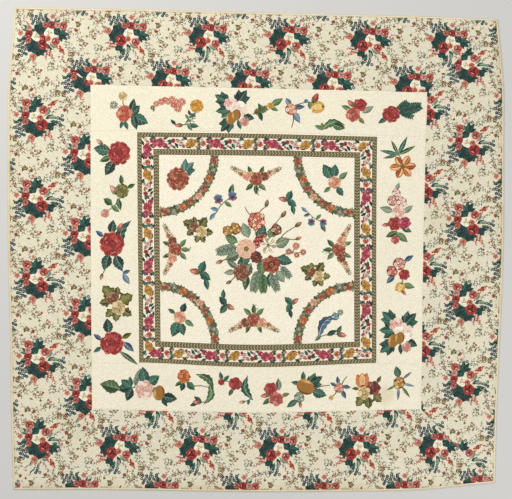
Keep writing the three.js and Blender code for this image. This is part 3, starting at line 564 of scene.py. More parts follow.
def draw_leaf(k, length, paint, rng, half=0.24, bow=0.0, teeth=0.0, veins=True):
    dark, mid, light, pale = paint
    full = length > k.leaves
    count = 9 if full else 3 if k.leaves > 100 or length < 24 else 5
    whole, upper, line = leaf_outline(length, half, bow, teeth, count)
    k.add(whole, dark if full else mid, True)
    if full:
        k.add((whole - (length * 0.5, 0)) * (0.94, 0.86) + (length * 0.5, 0), mid)
    k.add(upper * (0.92, 0.8) + (length * 0.03, 0), light if rng.random() < 0.5 else dark)
    if full and veins:
        for i in range(3):
            t = 0.18 + 0.2 * i
            y = bow * math.sin(math.pi * t)
            reach = half * math.sin(math.pi * t**0.82) * 0.8
            for side in (-1, 1):
                tip = (t + 0.15, bow * math.sin(math.pi * (t + 0.15)) + side * reach)
                k.add(np.array([(t - 0.015, y), (t + 0.02, y), tip]) * length, pale if side < 0 else dark)
    if length > 30 and k.leaves < 100:
        vein = strip(line[:-1] if full else line[:-1:2], length * 0.03, length * 0.006)
        k.add(vein, pale if full else light)


def draw_palm(k, length, paint, rng):
    """A lobed leaf."""
    for turn, share in ((-66, 0.58), (66, 0.58), (-33, 0.86), (33, 0.86), (0, 1.0)):
        k.push(0, 0, turn)
        draw_leaf(k, length * share, paint, rng, 0.27, 0, 0.08, False)
        k.pop()


def draw_clump(k, r, paint, rng):
    """Round leaves close together, dark, with pale edges."""
    dark, mid, light, _ = paint
    k.add(disc(0, 0, r, 10, 5, 0.1), dark, True)
    for i in range(4):
        a = 90 * i + rng.uniform(-20, 20)
        x, y = r * 0.5 * math.cos(math.radians(a)), r * 0.5 * math.sin(math.radians(a))
        k.add(disc(x, y, r * 0.46, 6, 0, 0, i), mid if i % 2 else dark)
        k.add(crescent(x, y, r * 0.44, r * 0.16, a + 20, 130, 4), light)
        k.add(wedge(x, y, -r * 0.3, r * 0.34, a - 30, r * 0.04), light)


def draw_twig(k, length, paint, rng):
    """A thin curved twig with small leaves."""
    dark, mid, light, _ = paint
    bend = length * rng.uniform(0.14, 0.3) * rng.choice((-1, 1))
    t = np.linspace(0, 1, 4)
    line = np.stack([t * length, bend * np.sin(np.pi * t)], 1)
    k.add(strip(line, 2.6, 1.4), mid, True)
    count = max(3, round(length / 9))
    for j in range(count):
        x = length * (j + 0.6) / count
        y = bend * math.sin(math.pi * x / length)
        k.push(x, y, (56 if j % 2 else -56) + rng.uniform(-20, 20))
        size = rng.uniform(9, 16)
        ink = (mid, mid, dark, light)[j % 4]
        k.add(np.array([(0, 0), (0.5, -0.23), (1, 0), (0.5, 0.23)]) * size, ink, True)
        k.pop()


def draw_sprig(k, length, paint, rng):
    """Small flowers and leaves in a loose bunch."""
    for i in range(7):
        a, d = i * 2.4 + 0.5, length * 0.42 * math.sqrt((i + 0.5) / 7)
        k.push(d * math.cos(a), d * 1.3 * math.sin(a), rng.uniform(0, 360))
        if i % 3 == 2:
            ink = PAINTS[("rust", "brown")[i % 2]]
            k.add(disc(0, 0, 7.0, 8, 4, 0.2, i), ink[1], True)
            k.add(disc(0, 0, 3.2, 4), ink[3])
        else:
            k.add(leaf_outline(rng.uniform(16, 24), 0.26, 0, 0, 3)[0], paint[1 + i % 2], True)
            k.add(wedge(0, 0, 0, rng.uniform(8, 12), 20, 2.4), paint[0])
        k.pop()


def draw_heart(k, r, paint, rng):
    k.add(np.array([(0, -1.1), (0.75, -0.35), (1, 0.35), (0.5, 0.9), (0, 0.45), (-0.5, 0.9), (-1, 0.35),
                    (-0.75, -0.35)]) * r, paint[1], True)
    k.add(crescent(0, 0, r * 0.7, r * 0.4, 60, 120, 5), paint[2])


def draw_fern(k, length, paint, rng):
    """A long leaf of narrow leaflets."""
    dark, mid, light, _ = paint
    k.add(leaf_outline(length, 0.035, 0, 0, 4)[0], mid, True)
    count = max(4, int(length / 15))
    for i in range(count):
        t = 0.1 + 0.82 * i / count
        size = length * 0.3 * math.sin(math.pi * (0.3 + 0.62 * t)) + 4
        for side in (-1, 1):
            k.push(t * length, 0, side * 42)
            k.add(leaf_outline(size, 0.21, 0, 0, 3)[0], (mid, dark)[(i + (side > 0)) % 2], True)
            k.add(wedge(0, 0, size * 0.1, size * 0.85, 4 * side, size * 0.07), light)
            k.pop()


def draw_tail(k, length, paint, rng):
    """A branch of small flowers and leaves that thins to its end."""
    green = PAINTS["sage"]
    k.add(leaf_outline(length, 0.07, 0, 0, 4)[0], green[1], True)
    count = 6
    for i in range(count):
        t = 0.1 + 0.8 * i / count
        size = length * 0.24 * (1 - 0.45 * t)
        for side in (-1, 1):
            k.push(t * length, 0, side * 48)
            k.add(leaf_outline(size, 0.24, 0, 0, 3)[0], green[(i + (side > 0)) % 2], True)
            k.pop()
    for i in range(count):
        t = 0.08 + 0.84 * i / count
        size = 13.0 * (1 - 0.62 * t)
        k.push(t * length, size * 0.75 * (1 if i % 2 else -1))
        ink = (paint, PAINTS["rust"], PAINTS["cream"])[i % 3]
        k.add(disc(0, 0, size, 10, 5, 0.2, i), ink[2], True)
        k.add(crescent(0, 0, size * 0.8, size * 0.3, 60 * i, 150, 4), ink[3])
        k.add(disc(0, 0, size * 0.36, 5), ink[0])
        k.pop()


def oak_outline(length, share=1.0):
    """A leaf with round lobes."""
    t = np.linspace(0, 1, 14)
    w = 0.4 * np.sin(np.pi * t**0.74) * (1 + 0.2 * np.cos(t * 5.4 * np.pi)) * share
    right = np.stack([t, -w], 1)[1:-1]
    left = np.stack([t, w], 1)[1:-1][::-1]
    return np.concatenate([[(-0.04, 0)], right, [(1, 0)], left]) * length


def draw_oak(k, length, paint, rng):
    dark, mid, light, pale = paint
    k.add(oak_outline(length), dark, True)
    k.add(oak_outline(length * 0.93, 0.86) + (length * 0.03, 0), mid)
    upper = oak_outline(length * 0.88, 0.66)
    ink = light if rng.random() < 0.5 else dark
    k.add(np.concatenate([upper[:1], upper[14:]]) + (length * 0.05, 0), ink)
    for i in range(3):
        for side in (-1, 1):
            k.push(length * (0.16 + 0.2 * i), 0, side * 46)
            k.add(wedge(0, 0, 0, length * (0.26 - 0.03 * i), 0, length * 0.014), pale if side < 0 else dark)
            k.pop()
    k.add(wedge(0, 0, 0, length * 0.9, 0, length * 0.016), pale)


def draw_stem(k, length, paint, rng):
    t = np.linspace(0, 1, 6)
    line = np.stack([t * length, 0.09 * length * np.minimum(t, 1 - t) * 2], 1)
    k.add(strip(line, 6.0, 4.4), paint[1], True)
    k.add(strip(line + (0, 0.8), 1.8, 1.0), paint[2])


def draw_spike(k, length, paint, rng):
    """A tapering spike of little flowers."""
    dark, mid, light, pale = paint
    k.add(leaf_outline(length, 0.17)[0], mid, True)
    count = max(4, int(length / 11))
    for i in range(count):
        t = 0.08 + 0.86 * i / count
        wide = 0.16 * math.sin(math.pi * t**0.7) * length
        for side in (-1, 0, 1):
            size = (4.6 + 0.03 * length) * (1 - 0.45 * t)
            tone = (light, pale, dark)[(i + side) % 3]
            k.add(disc(t * length, side * wide * 0.8, size, 5, 0, 0, i), tone)


DRAW = {
    "rose": draw_rose,
    "peony": draw_peony,
    "cabbage": draw_cabbage,
    "mum": draw_mum,
    "cluster": draw_cluster,
    "floret": draw_floret,
    "fruit": draw_fruit,
    "lily": draw_lily,
    "tulip": draw_tulip,
    "bud": draw_bud,
    "palm": draw_palm,
    "aster": draw_aster,
    "anemone": draw_anemone,
    "ranunculus": draw_ranunculus,
    "iris": draw_iris,
    "clump": draw_clump,
    "twig": draw_twig,
    "sprig": draw_sprig,
    "heart": draw_heart,
    "stem": draw_stem,
    "spike": draw_spike,
    "leaf": draw_leaf,
    "blade": lambda k, r, p, g: draw_leaf(k, r, p, g, 0.11),
    "broad": lambda k, r, p, g: draw_leaf(k, r, p, g, 0.32, 0, 0.07),
    "curl": lambda k, r, p, g: draw_leaf(k, r, p, g, 0.16, 0.22, 0.14),
    "fern": draw_fern,
    "tail": draw_tail,
    "oak": draw_oak,
}


def draw(k, rows, rng):
    """Draws rows of: what, across, up, size, turn, ink. Leaves and stems come under flowers."""
    under = ("stem", "leaf", "blade", "broad", "curl", "fern", "palm", "oak", "tail", "twig", "clump")
    for low in (True, False):
        for what, x, y, size, turn, ink in rows:
            if (what in under) == low:
                k.push(x, y, turn)
                DRAW[what](k, size, PAINTS[ink], rng)
                k.pop()


# Each kind of spray, from the bottom up: what, across, up, size, turn, ink
SPRAYS = {
    "rose_and_bud": [
        ("rose", -6, -24, 50, 10, "coral"), ("rose", -14, 74, 27, 0, "cream"),
        ("stem", -8, 18, 42, 96, "green"), ("floret", -66, 22, 27, 0, "grey"),
        ("stem", -46, 12, 30, -30, "grey"), ("broad", 38, -40, 102, -22, "teal"),
        ("broad", 34, -32, 74, 48, "teal"), ("leaf", 44, -34, 84, -74, "teal"),
        ("leaf", 34, -20, 84, 78, "teal"), ("leaf", -2, -66, 52, -70, "teal"),
        ("leaf", -12, -66, 46, -112, "teal"),
    ],
    "lilac_arch": [
        ("floret", -90, -18, 15, 0, "olive"), ("leaf", -84, -16, 26, 270, "olive"),
        ("aster", -70, 4, 20, 0, "coral"), ("aster", -40, 17, 24, 20, "coral"),
        ("aster", -20, 30, 17, 20, "coral"), ("aster", -2, 18, 22, 0, "coral"),
        ("aster", 20, 30, 24, 0, "coral"), ("aster", 44, 16, 24, 10, "coral"),
        ("aster", 76, 18, 26, 0, "coral"), ("aster", 54, -20, 27, 30, "coral"),
        ("aster", 28, -2, 18, 30, "coral"),
    ],
    "gold_and_bud": [
        ("mum", 52, 46, 40, 0, "gold"), ("twig", -16, -64, 84, 54, "green"),
        ("leaf", 8, -22, 40, 30, "green"), ("leaf", 18, 2, 36, -30, "forest"),
        ("leaf", 4, -30, 34, 118, "green"), ("leaf", -6, -44, 34, 20, "sage"),
        ("leaf", 14, -8, 34, 104, "forest"), ("stem", -16, -64, 96, 50, "green"),
        ("bud", -28, -64, 22, 184, "rose"), ("stem", -36, -66, 50, 4, "green"),
        ("leaf", -66, -62, 42, 136, "teal"), ("leaf", 8, -64, 58, -6, "teal"),
        ("leaf", 0, -60, 44, -52, "green"),
    ],
    "peony_and_fruit": [
        ("cabbage", -16, 44, 44, 0, "pink"), ("cabbage", 26, 2, 56, 8, "white"),
        ("fruit", -34, -44, 40, 64, "ochre"), ("fruit", 2, -30, 36, 70, "ochre"),
        ("palm", -40, 66, 82, 138, "teal"), ("palm", 34, 50, 90, 44, "teal"),
        ("palm", -22, 12, 96, 178, "teal"), ("palm", -44, -62, 86, 216, "teal"),
        ("broad", 40, -44, 72, -24, "teal"), ("rose", 42, -82, 30, 0, "pink"),
        ("leaf", 6, -64, 60, -86, "teal"),
    ],
    "gold_tail": [
        ("fern", -86, -36, 96, 26, "olive"), ("rose", 10, 14, 19, 0, "gold"),
        ("leaf", 16, 16, 76, 34, "green"), ("leaf", 8, 8, 52, -26, "green"),
        ("leaf", -34, -16, 50, 118, "green"), ("leaf", -52, -24, 56, -72, "teal"),
    ],
    "tulip_and_blue": [
        ("cluster", -74, -6, 38, 0, "peach"), ("leaf", -60, -18, 76, -62, "blue"),
        ("leaf", -56, 4, 60, 8, "blue"), ("broad", -78, 16, 50, 118, "blue"),
        ("stem", -62, -34, 78, -96, "brown"), ("stem", -56, 16, 128, 10, "brown"),
        ("tulip", 78, 12, 42, 188, "gold"), ("bud", 46, 34, 32, 66, "red"),
        ("floret", 8, 44, 12, 0, "blue"), ("leaf", 26, 42, 48, -84, "green"),
    ],
    "leaf_pair": [
        ("curl", -48, -34, 134, 12, "green"), ("broad", 10, -2, 74, -16, "green"),
        ("leaf", -40, -30, 52, 158, "green"), ("leaf", -44, -30, 40, 96, "olive"),
    ],
    "double_rose": [
        ("rose", 14, 22, 40, 0, "red"), ("rose", -22, -34, 44, 14, "rose"),
        ("bud", -18, 12, 26, 134, "rose"), ("leaf", -34, -6, 58, 158, "green"),
        ("leaf", 30, -22, 70, 34, "sage"), ("leaf", 8, -50, 50, -46, "olive"),
    ],
    "carnation": [
        ("peony", -50, -8, 50, 140, "red"), ("leaf", -70, -30, 58, 214, "teal"),
        ("fern", -30, 4, 158, 16, "teal"), ("fern", -24, 6, 96, 46, "teal"),
        ("fern", -4, 4, 88, -18, "teal"),
    ],
    "day_lily": [
        ("lily", 26, -42, 72, 6, "orange"), ("stem", -4, 32, 46, -58, "green"),
        ("blade", 0, 30, 102, 170, "teal"), ("blade", 0, 30, 88, 116, "green"),
        ("blade", 2, 30, 112, 66, "teal"), ("blade", 4, 28, 104, 30, "green"),
        ("blade", -2, 26, 84, 196, "green"),
    ],
    "tall_spray": [
        ("cluster", -8, 134, 28, 0, "white"), ("cluster", -30, 88, 32, 12, "pink"),
        ("cluster", 22, 84, 34, 0, "white"), ("cabbage", 6, 30, 38, 0, "pink"),
        ("rose", -14, -40, 42, 10, "red"), ("rose", 40, -36, 38, 0, "crimson"),
        ("rose", -10, -132, 26, 0, "rose"), ("stem", -6, -60, 60, -94, "green"),
        ("leaf", -24, 30, 78, 164, "sage"), ("leaf", 34, 22, 66, 40, "sage"),
        ("bud", -48, -44, 20, 190, "rose"), ("leaf", -2, -86, 70, 206, "green"),
        ("leaf", -4, -92, 84, -40, "green"), ("leaf", 24, -62, 64, -24, "teal"),
        ("leaf", -8, 150, 48, 72, "sage"),
    ],
    "ribbon_flowers": [
        ("cluster", -4, 76, 42, 0, "pink"), ("cluster", -44, 34, 36, 18, "rose"),
        ("rose", 26, 16, 34, 0, "red"), ("tulip", 6, -52, 34, 250, "gold"),
        ("stem", 16, -4, 44, -96, "green"), ("leaf", -30, 12, 66, 226, "blue"),
        ("leaf", 18, -40, 72, -14, "green"), ("leaf", 28, 92, 60, 34, "blue"),
        ("bud", 16, -76, 16, -52, "rose"),
    ],
    "olive_rose": [
        ("rose", -16, 24, 38, 0, "brown"), ("rose", 14, -26, 42, 12, "cream"),
        ("oak", -18, 38, 84, 132, "olive"), ("oak", -30, 10, 64, 188, "olive"),
        ("oak", 20, 6, 88, 28, "olive"), ("oak", 34, -38, 66, -32, "olive"),
        ("oak", 4, -48, 60, -96, "olive"), ("oak", -14, -38, 60, 222, "olive"),
        ("oak", 2, 42, 54, 78, "olive"),
    ],
    "olive_bud": [
        ("peony", 34, 40, 42, 0, "olive"), ("bud", 2, 22, 30, 124, "pink"),
        ("stem", 34, 18, 128, 226, "green"), ("leaf", 34, 74, 56, 96, "green"),
        ("leaf", 66, 56, 50, 26, "green"), ("leaf", 10, -2, 66, -76, "green"),
        ("broad", -22, -34, 60, 146, "green"), ("leaf", -26, -40, 58, -38, "green"),
        ("rose", -62, -82, 26, 0, "pink"),
    ],
    "peony": [
        ("peony", 24, 6, 68, 0, "red"), ("broad", -26, 16, 98, 168, "teal"),
        ("broad", -8, -36, 92, 238, "teal"), ("leaf", -24, -12, 70, 202, "green"),
        ("stem", -30, 34, 60, 152, "green"), ("bud", -72, 56, 22, 142, "pink"),
    ],
    "peony_tall": [
        ("peony", -18, 24, 72, 0, "red"), ("broad", -22, 82, 78, 80, "teal"),
        ("bud", 16, 98, 26, 58, "rose"), ("stem", 8, 76, 38, 62, "green"),
        ("curl", 40, 4, 162, 70, "teal"), ("leaf", -66, 66, 54, 142, "blue"),
        ("broad", -34, -34, 92, 250, "teal"), ("broad", 2, -38, 96, -68, "teal"),
        ("stem", 8, -60, 104, -66, "blue"), ("leaf", 44, -144, 68, -58, "blue"),
        ("leaf", 44, -140, 46, 24, "blue"), ("stem", -46, -70, 84, 250, "green"),
        ("bud", -72, -142, 18, 252, "rose"),
    ],
    "peony_stalk": [
        ("peony", -12, -2, 70, 6, "red"), ("broad", -30, 56, 86, 96, "teal"),
        ("leaf", -70, 18, 56, 142, "blue"), ("leaf", -72, -22, 52, 214, "teal"),
        ("blade", 30, -50, 128, -36, "green"), ("leaf", 44, 26, 62, 28, "olive"),
        ("leaf", 52, 2, 78, -42, "blue"),
    ],
    "fern_and_bud": [
        ("peony", -82, 66, 40, 0, "orange"), ("broad", -64, 34, 62, -44, "teal"),
        ("broad", -82, 32, 52, 252, "teal"), ("leaf", -96, 36, 46, 216, "olive"),
        ("stem", -42, 10, 104, 0, "olive"), ("curl", -8, 78, 130, -42, "green"),
        ("curl", 64, 30, 124, -106, "green"), ("stem", 38, -72, 40, 188, "olive"),
        ("bud", 16, -78, 24, 176, "rose"), ("leaf", 20, -74, 54, 146, "teal"),
        ("leaf", -4, -80, 46, 202, "teal"),
    ],
    "rose_swag": [
        ("cabbage", 42, -22, 56, 8, "pink"), ("stem", -38, -12, 60, -6, "green"),
        ("broad", -34, -10, 82, 186, "teal"), ("broad", -34, -10, 72, 144, "teal"),
        ("broad", -30, -12, 78, 248, "teal"), ("leaf", -34, -8, 60, 98, "teal"),
        ("broad", -98, -18, 116, 166, "green"), ("fern", -14, -6, 110, 66, "sage"),
        ("broad", 44, 14, 92, 98, "teal"), ("broad", 58, 8, 86, 36, "teal"),
        ("fruit", 126, -36, 42, 78, "ochre"), ("leaf", 84, -30, 42, 40, "teal"),
        ("broad", 144, -56, 88, -6, "teal"), ("leaf", 142, -62, 58, -56, "teal"),
    ],
    "fruit_swag": [
        ("fruit", -18, 20, 54, -36, "ochre"), ("palm", 4, 34, 84, 30, "teal"),
        ("leaf", -30, 52, 58, 92, "green"), ("leaf", -48, 40, 52, 168, "teal"),
        ("broad", 22, -8, 84, -18, "teal"), ("cluster", -52, -40, 34, 0, "sage"),
        ("leaf", -62, -54, 72, 214, "teal"), ("bud", -46, -66, 17, -84, "rose"),
        ("stem", 22, 0, 100, 14, "brown"),
    ],
    "blue_sprig": [
        ("iris", -32, 2, 29, 16, "blue"), ("iris", 48, 18, 29, 6, "blue"),
        ("stem", -54, -86, 140, 46, "green"), ("stem", -16, -34, 36, 110, "green"),
        ("leaf", 34, 22, 66, 74, "green"), ("leaf", -52, -76, 50, 232, "blue"),
        ("leaf", -32, -58, 48, 168, "blue"), ("leaf", 4, -14, 50, -34, "green"),
    ],
    "bud_and_leaf": [
        ("bud", 2, 4, 27, 168, "rose"), ("broad", 0, 4, 60, 66, "teal"), ("broad", 0, 4, 62, -34, "teal"),
        ("leaf", 26, -22, 56, -78, "teal"), ("stem", -4, 4, 54, -36, "teal"),
    ],
    "corner_rose": [
        ("rose", 10, -14, 38, 0, "peach"), ("broad", -4, 8, 94, 122, "teal"),
        ("broad", 6, 14, 76, 84, "teal"), ("leaf", 34, 4, 64, 42, "green"),
        ("broad", 24, -40, 60, -56, "teal"), ("leaf", -12, -40, 50, 220, "green"),
    ],
    "corner_mum": [
        ("mum", -14, -12, 66, 0, "rust"), ("palm", 22, 26, 78, 44, "bluegreen"),
        ("leaf", 22, 32, 70, 82, "bluegreen"),
    ],
    "blue_vine": [
        ("curl", -70, -66, 158, 46, "blue"), ("cluster", 20, 44, 24, 0, "blue"),
        ("floret", 48, 66, 20, 0, "sage"), ("stem", -68, -66, 108, 5, "sage"),
        ("leaf", -26, -58, 62, 24, "teal"), ("bud", 30, -53, 27, -14, "rose"),
        ("leaf", 30, -52, 52, 62, "green"), ("leaf", -60, -56, 46, 226, "sage"),
    ],
    "brown_tulip": [
        ("tulip", -26, 42, 46, 96, "orange"), ("rose", 36, 4, 44, 0, "maroon"),
        ("rose", -14, -20, 38, 0, "cream"), ("oak", -18, -40, 66, 236, "olive"),
        ("oak", 10, -44, 66, -84, "olive"), ("oak", 44, -28, 62, -48, "olive"),
        ("leaf", 56, 32, 46, 62, "olive"), ("leaf", -44, 4, 40, 176, "olive"),
    ],
    "coral_sprig": [
        ("cluster", -10, -4, 32, 0, "salmon"), ("leaf", 6, -18, 54, -62, "blue"),
        ("leaf", 10, 4, 48, -10, "blue"), ("leaf", -14, 18, 46, 100, "blue"),
        ("leaf", -26, 8, 40, 150, "blue"), ("stem", 4, 12, 56, 58, "brown"),
        ("stem", -18, -14, 56, 232, "brown"), ("floret", -52, -58, 14, 0, "cream"),
    ],
    "rose_and_sickle": [
        ("rose", -17, 33, 40, 0, "red"), ("rose", -97, 40, 20, 0, "red"),
        ("stem", -94, 44, 60, -4, "green"), ("leaf", -94, 50, 50, 102, "teal"),
        ("leaf", -84, 48, 46, 44, "teal"), ("leaf", -30, 4, 50, 240, "teal"),
        ("curl", 80, -56, 142, 100, "teal"), ("stem", 78, -48, 50, 206, "green"),
        ("bud", 38, -70, 18, 190, "pink"), ("leaf", 62, -56, 36, 258, "teal"),
    ],
    "fern_mum": [
        ("cluster", -4, -2, 40, 0, "ochre"), ("broad", -8, 28, 66, 106, "teal"),
        ("blade", 16, 20, 66, 38, "blue"), ("blade", 22, -8, 66, -12, "blue"),
        ("blade", 12, -24, 78, -52, "green"), ("blade", -6, -30, 72, -92, "blue"),
        ("blade", -24, -18, 58, 206, "green"),
    ],
    "triangle": [
        ("mum", 0, -10, 37, 0, "rust"), ("rose", -46, 4, 25, 0, "peach"),
        ("floret", -24, 20, 15, 0, "cream"), ("rose", 46, 4, 25, 0, "brown"),
        ("floret", 24, 20, 15, 0, "rust"), ("twig", 0, -40, 52, -84, "sage"),
        ("leaf", 0, -40, 52, -90, "green"), ("leaf", -14, -34, 54, -138, "green"),
        ("leaf", 14, -34, 54, -42, "green"), ("tail", -56, 10, 98, 152, "peach"),
        ("tail", 56, 10, 98, 28, "peach"), ("leaf", -24, 16, 46, 112, "green"),
        ("leaf", 24, 16, 46, 68, "green"),
    ],
    "bouquet": [
        ("cluster", -21, 152, 56, 0, "coral"), ("cluster", -140, 108, 38, 10, "ochre"),
        ("cluster", -182, 96, 34, 40, "ochre"), ("cluster", 90, 104, 36, 0, "brown"),
        ("spike", -34, -2, 112, 48, "red"), ("spike", -42, 14, 92, 54, "red"),
        ("ranunculus", -78, -2, 54, 0, "peach"), ("lily", 46, 17, 54, 0, "ivory"),
        ("anemone", -22, -48, 35, 0, "maroon"), ("anemone", 63, -88, 52, 0, "rust"),
        ("mum", -106, -132, 48, 0, "brown"), ("aster", 160, -18, 21, 0, "rust"),
        ("aster", 200, 14, 23, 0, "coral"), ("aster", 240, -20, 20, 0, "rust"),
        ("aster", 204, -36, 18, 0, "coral"), ("stem", 80, -56, 148, 13, "olive"),
        ("stem", 180, -22, 44, 52, "olive"), ("stem", -18, 56, 66, 97, "olive"),
        ("broad", -66, 62, 86, 112, "sage"), ("broad", -10, 44, 92, 66, "teal"),
        ("broad", -128, 36, 76, 158, "green"), ("broad", -118, -26, 88, 206, "sage"),
        ("broad", 52, 54, 80, 66, "green"), ("broad", 84, 14, 92, 26, "sage"),
        ("broad", 96, -54, 88, -16, "teal"), ("broad", 92, -122, 78, -56, "sage"),
        ("broad", -52, -84, 92, 240, "sage"), ("broad", -56, -46, 84, 208, "teal"),
        ("broad", 16, -60, 92, 262, "green"), ("leaf", 62, -128, 84, -98, "teal"),
        ("leaf", -140, -126, 66, 188, "sage"), ("leaf", -74, -142, 88, 262, "green"),
        ("leaf", -128, -104, 70, 150, "sage"), ("leaf", -94, -90, 64, 96, "green"),
        ("fern", -8, -112, 138, 256, "sage"), ("fern", 14, -130, 122, -88, "green"),
        ("fern", 58, -134, 116, -68, "sage"), ("fern", -122, 10, 138, 194, "sage"),
        ("stem", 46, 46, 154, 61, "olive"), ("bud", 119, 174, 22, 52, "brown"),
        ("stem", 92, 30, 142, 41, "olive"), ("bud", 196, 122, 22, 34, "rust"),
        ("stem", 96, 34, 110, 8, "olive"), ("bud", 198, 50, 18, 22, "coral"),
        ("stem", -14, 182, 74, 46, "olive"), ("bud", 32, 230, 21, 74, "brown"),
        ("stem", -222, -70, 112, 12, "olive"), ("bud", -214, -68, 20, 200, "coral"),
        ("stem", -170, -182, 62, 36, "olive"), ("bud", -164, -180, 17, 204, "brown"),
        ("fern", 112, -96, 96, -48, "sage"), ("stem", -40, 170, 74, 128, "olive"),
    ],
}

# Name, kind, across, up, turn, scale of each spray
PLACES = [
    ("top_rose", "rose_and_bud", -739, 770, 0, 1),
    ("top_lilac", "lilac_arch", -493, 799, 0, 1),
    ("top_gold", "gold_and_bud", -385, 748, 0, 1),
    ("top_peony", "peony_and_fruit", -117, 773, 12, 0.92),
    ("top_tail", "gold_tail", 70, 790, 0, 1),
    ("top_tulip", "tulip_and_blue", 268, 792, 0, 1),
    ("top_leaves", "leaf_pair", 413, 707, 0, 1),
    ("top_double_rose", "double_rose", 556, 799, 0, 1),
    ("top_carnation", "carnation", 791, 781, 0, 1),
    ("right_lily", "day_lily", 785, 516, 0, 1),
    ("right_tall", "tall_spray", 787, 188, 0, 1),
    ("right_ribbon", "ribbon_flowers", 803, -158, 0, 1),
    ("right_peony", "peony_and_fruit", 802, -472, 0, 1),
    ("bottom_mum", "fern_mum", 810, -752, 0, 1),
    ("bottom_brown", "brown_tulip", 622, -786, 0, 1),
    ("bottom_blue", "coral_sprig", 476, -770, 0, 1),
    ("bottom_fruit", "fruit_swag", 296, -781, 0, 1),
    ("bottom_roses", "double_rose", 96, -790, 60, 1),
    ("bottom_dark_rose", "rose_and_sickle", -100, -771, 0, 1),
    ("bottom_fern", "fern_and_bud", -330, -774, 0, 1),
    ("bottom_swag", "rose_swag", -680, -770, 0, 1),
    ("left_stalk", "peony_stalk", -809, -530, 0, 1),
    ("left_olive", "olive_rose", -798, -303, 0, 1),
    ("left_tall", "peony_tall", -800, 6, 0, 1),
    ("left_bud", "olive_bud", -793, 282, 0, 1),
    ("left_peony", "peony", -797, 521, 0, 1),
    ("corner_mum", "corner_mum", -427, 399, 0, 1),
    ("corner_pink", "corner_rose", 427, 391, 0, 1),
    ("corner_coral", "corner_rose", -442, -395, 190, -1),
    ("corner_vine", "blue_vine", 421, -418, 0, 1),
    ("spray_top", "triangle", 0, 400, 0, 1.06),
    ("spray_right", "triangle", 471, 0, 270, 1.06),
    ("spray_bottom", "triangle", -12, -394, 180, 1.06),
    ("spray_left", "triangle", -469, 0, 90, 1.06),
    ("field_blue", "blue_sprig", -180, 276, 0, 1),
    ("field_olive", "olive_rose", -328, 112, 27, 0.78),
    ("field_bud", "bud_and_leaf", 176, 270, 0, 1),
    ("field_blue_small", "blue_sprig", 334, 158, 190, -0.8),
    ("field_pink", "bud_and_leaf", -318, -132, 0, 1.2),
    ("field_dark_bud", "bud_and_leaf", -166, -300, 166, 1),
    ("field_brown", "olive_rose", 332, -136, 30, 0.74),
    ("field_small_bud", "bud_and_leaf", 202, -300, 24, -0.9),
    ("bouquet", "bouquet", 24, 6, 0, 1),
]

# The chintz border's bouquet, upright: what, across, up, size, turn, ink
CHINTZ = [
    ("twig", 78, 94, 66, 28, "rust"), ("twig", 48, 112, 44, 70, "rust"),
    ("twig", 124, 28, 80, -6, "brown"), ("twig", 122, -26, 44, -34, "twig"),
    ("twig", 108, -108, 50, -72, "twig"), ("twig", -30, 112, 44, 120, "forest"),
    ("twig", 106, 74, 50, 52, "brown"), ("twig", -120, 6, 40, 170, "twig"),
    ("twig", -92, -72, 44, 200, "twig"), ("twig", -118, 60, 44, 150, "rust"),
    ("twig", 60, -84, 50, -60, "rust"), ("clump", -30, 34, 38, 0, "forest"),
    ("clump", -62, 6, 30, 20, "forest"), ("clump", -66, -26, 22, 50, "forest"),
    ("clump", -34, -66, 24, 10, "forest"), ("leaf", -18, -60, 46, 262, "forest"),
    ("leaf", -54, -34, 46, 222, "teal"), ("leaf", 50, 46, 56, -52, "forest"),
    ("clump", 72, 22, 22, 0, "forest"), ("leaf", 84, 16, 46, 28, "teal"),
    ("leaf", 86, 10, 56, -4, "forest"), ("leaf", 84, 6, 56, -34, "teal"),
    ("leaf", 80, 2, 44, -64, "forest"), ("leaf", 56, 66, 38, 80, "sage"),
    ("leaf", 64, 66, 36, 50, "bluegreen"), ("leaf", 4, 60, 44, 76, "teal"),
    ("leaf", 12, -46, 44, -60, "forest"), ("leaf", 30, -50, 46, -24, "sage"),
    ("leaf", 20, -60, 46, -92, "sage"), ("leaf", -2, -70, 40, -100, "teal"),
    ("leaf", 36, 28, 44, -20, "forest"), ("leaf", -96, 40, 38, 150, "sage"),
    ("spike", -82, 20, 50, 172, "salmon"), ("rose", -92, 30, 21, 0, "salmon"),
    ("spike", -50, -50, 66, 208, "salmon"), ("spike", -70, -34, 46, 196, "pink"),
    ("spike", 70, -54, 74, -52, "coral"), ("floret", 42, 108, 15, 0, "salmon"),
    ("rose", 37, 60, 24, 0, "red"), ("rose", 104, 56, 25, 40, "rose"), ("cabbage", 24, 14, 29, 0, "ivory"),
    ("rose", -2, 62, 17, 0, "rose"), ("rose", -19, -25, 33, 0, "red"), ("rose", 62, -34, 25, 0, "rose"),
    ("rose", 18, -16, 17, 0, "coral"), ("rose", 70, 60, 17, 0, "pink"), ("floret", 176, 30, 9, 0, "rust"),
    ("floret", 148, 22, 8, 0, "salmon"), ("floret", 100, -84, 10, 0, "rust"),
]
# Dots of the dark blossom at the bouquet's upper left and of its foot: across, up, reaches, count
BERRIES = [(-36, 88, 60, 34, 19), (12, 62, 16, 20, 4), (0, -122, 34, 22, 7), (112, -8, 30, 24, 5)]
# What fills the chintz's ground, for one repeat
FILLER = [
    ("heart", -180, 112, 11, 20, "rust"), ("sprig", -187, 12, 62, 0, "twig"),
    ("heart", -168, -18, 8, 0, "rust"), ("sprig", -228, -46, 46, 0, "twig"),
    ("sprig", -262, 66, 36, 0, "olive"), ("heart", -96, -112, 7, 50, "salmon"),
    ("sprig", 150, -110, 34, 0, "twig"), ("heart", 158, 92, 8, -30, "rust"),
    ("sprig", -96, 118, 30, 0, "olive"),
]
FILLER_ROWS, FILLER_COLUMNS = 6, 8
REPEAT_ALONG = (450.0, 0.0)
REPEAT_DOWN = (236.0, -257.0)

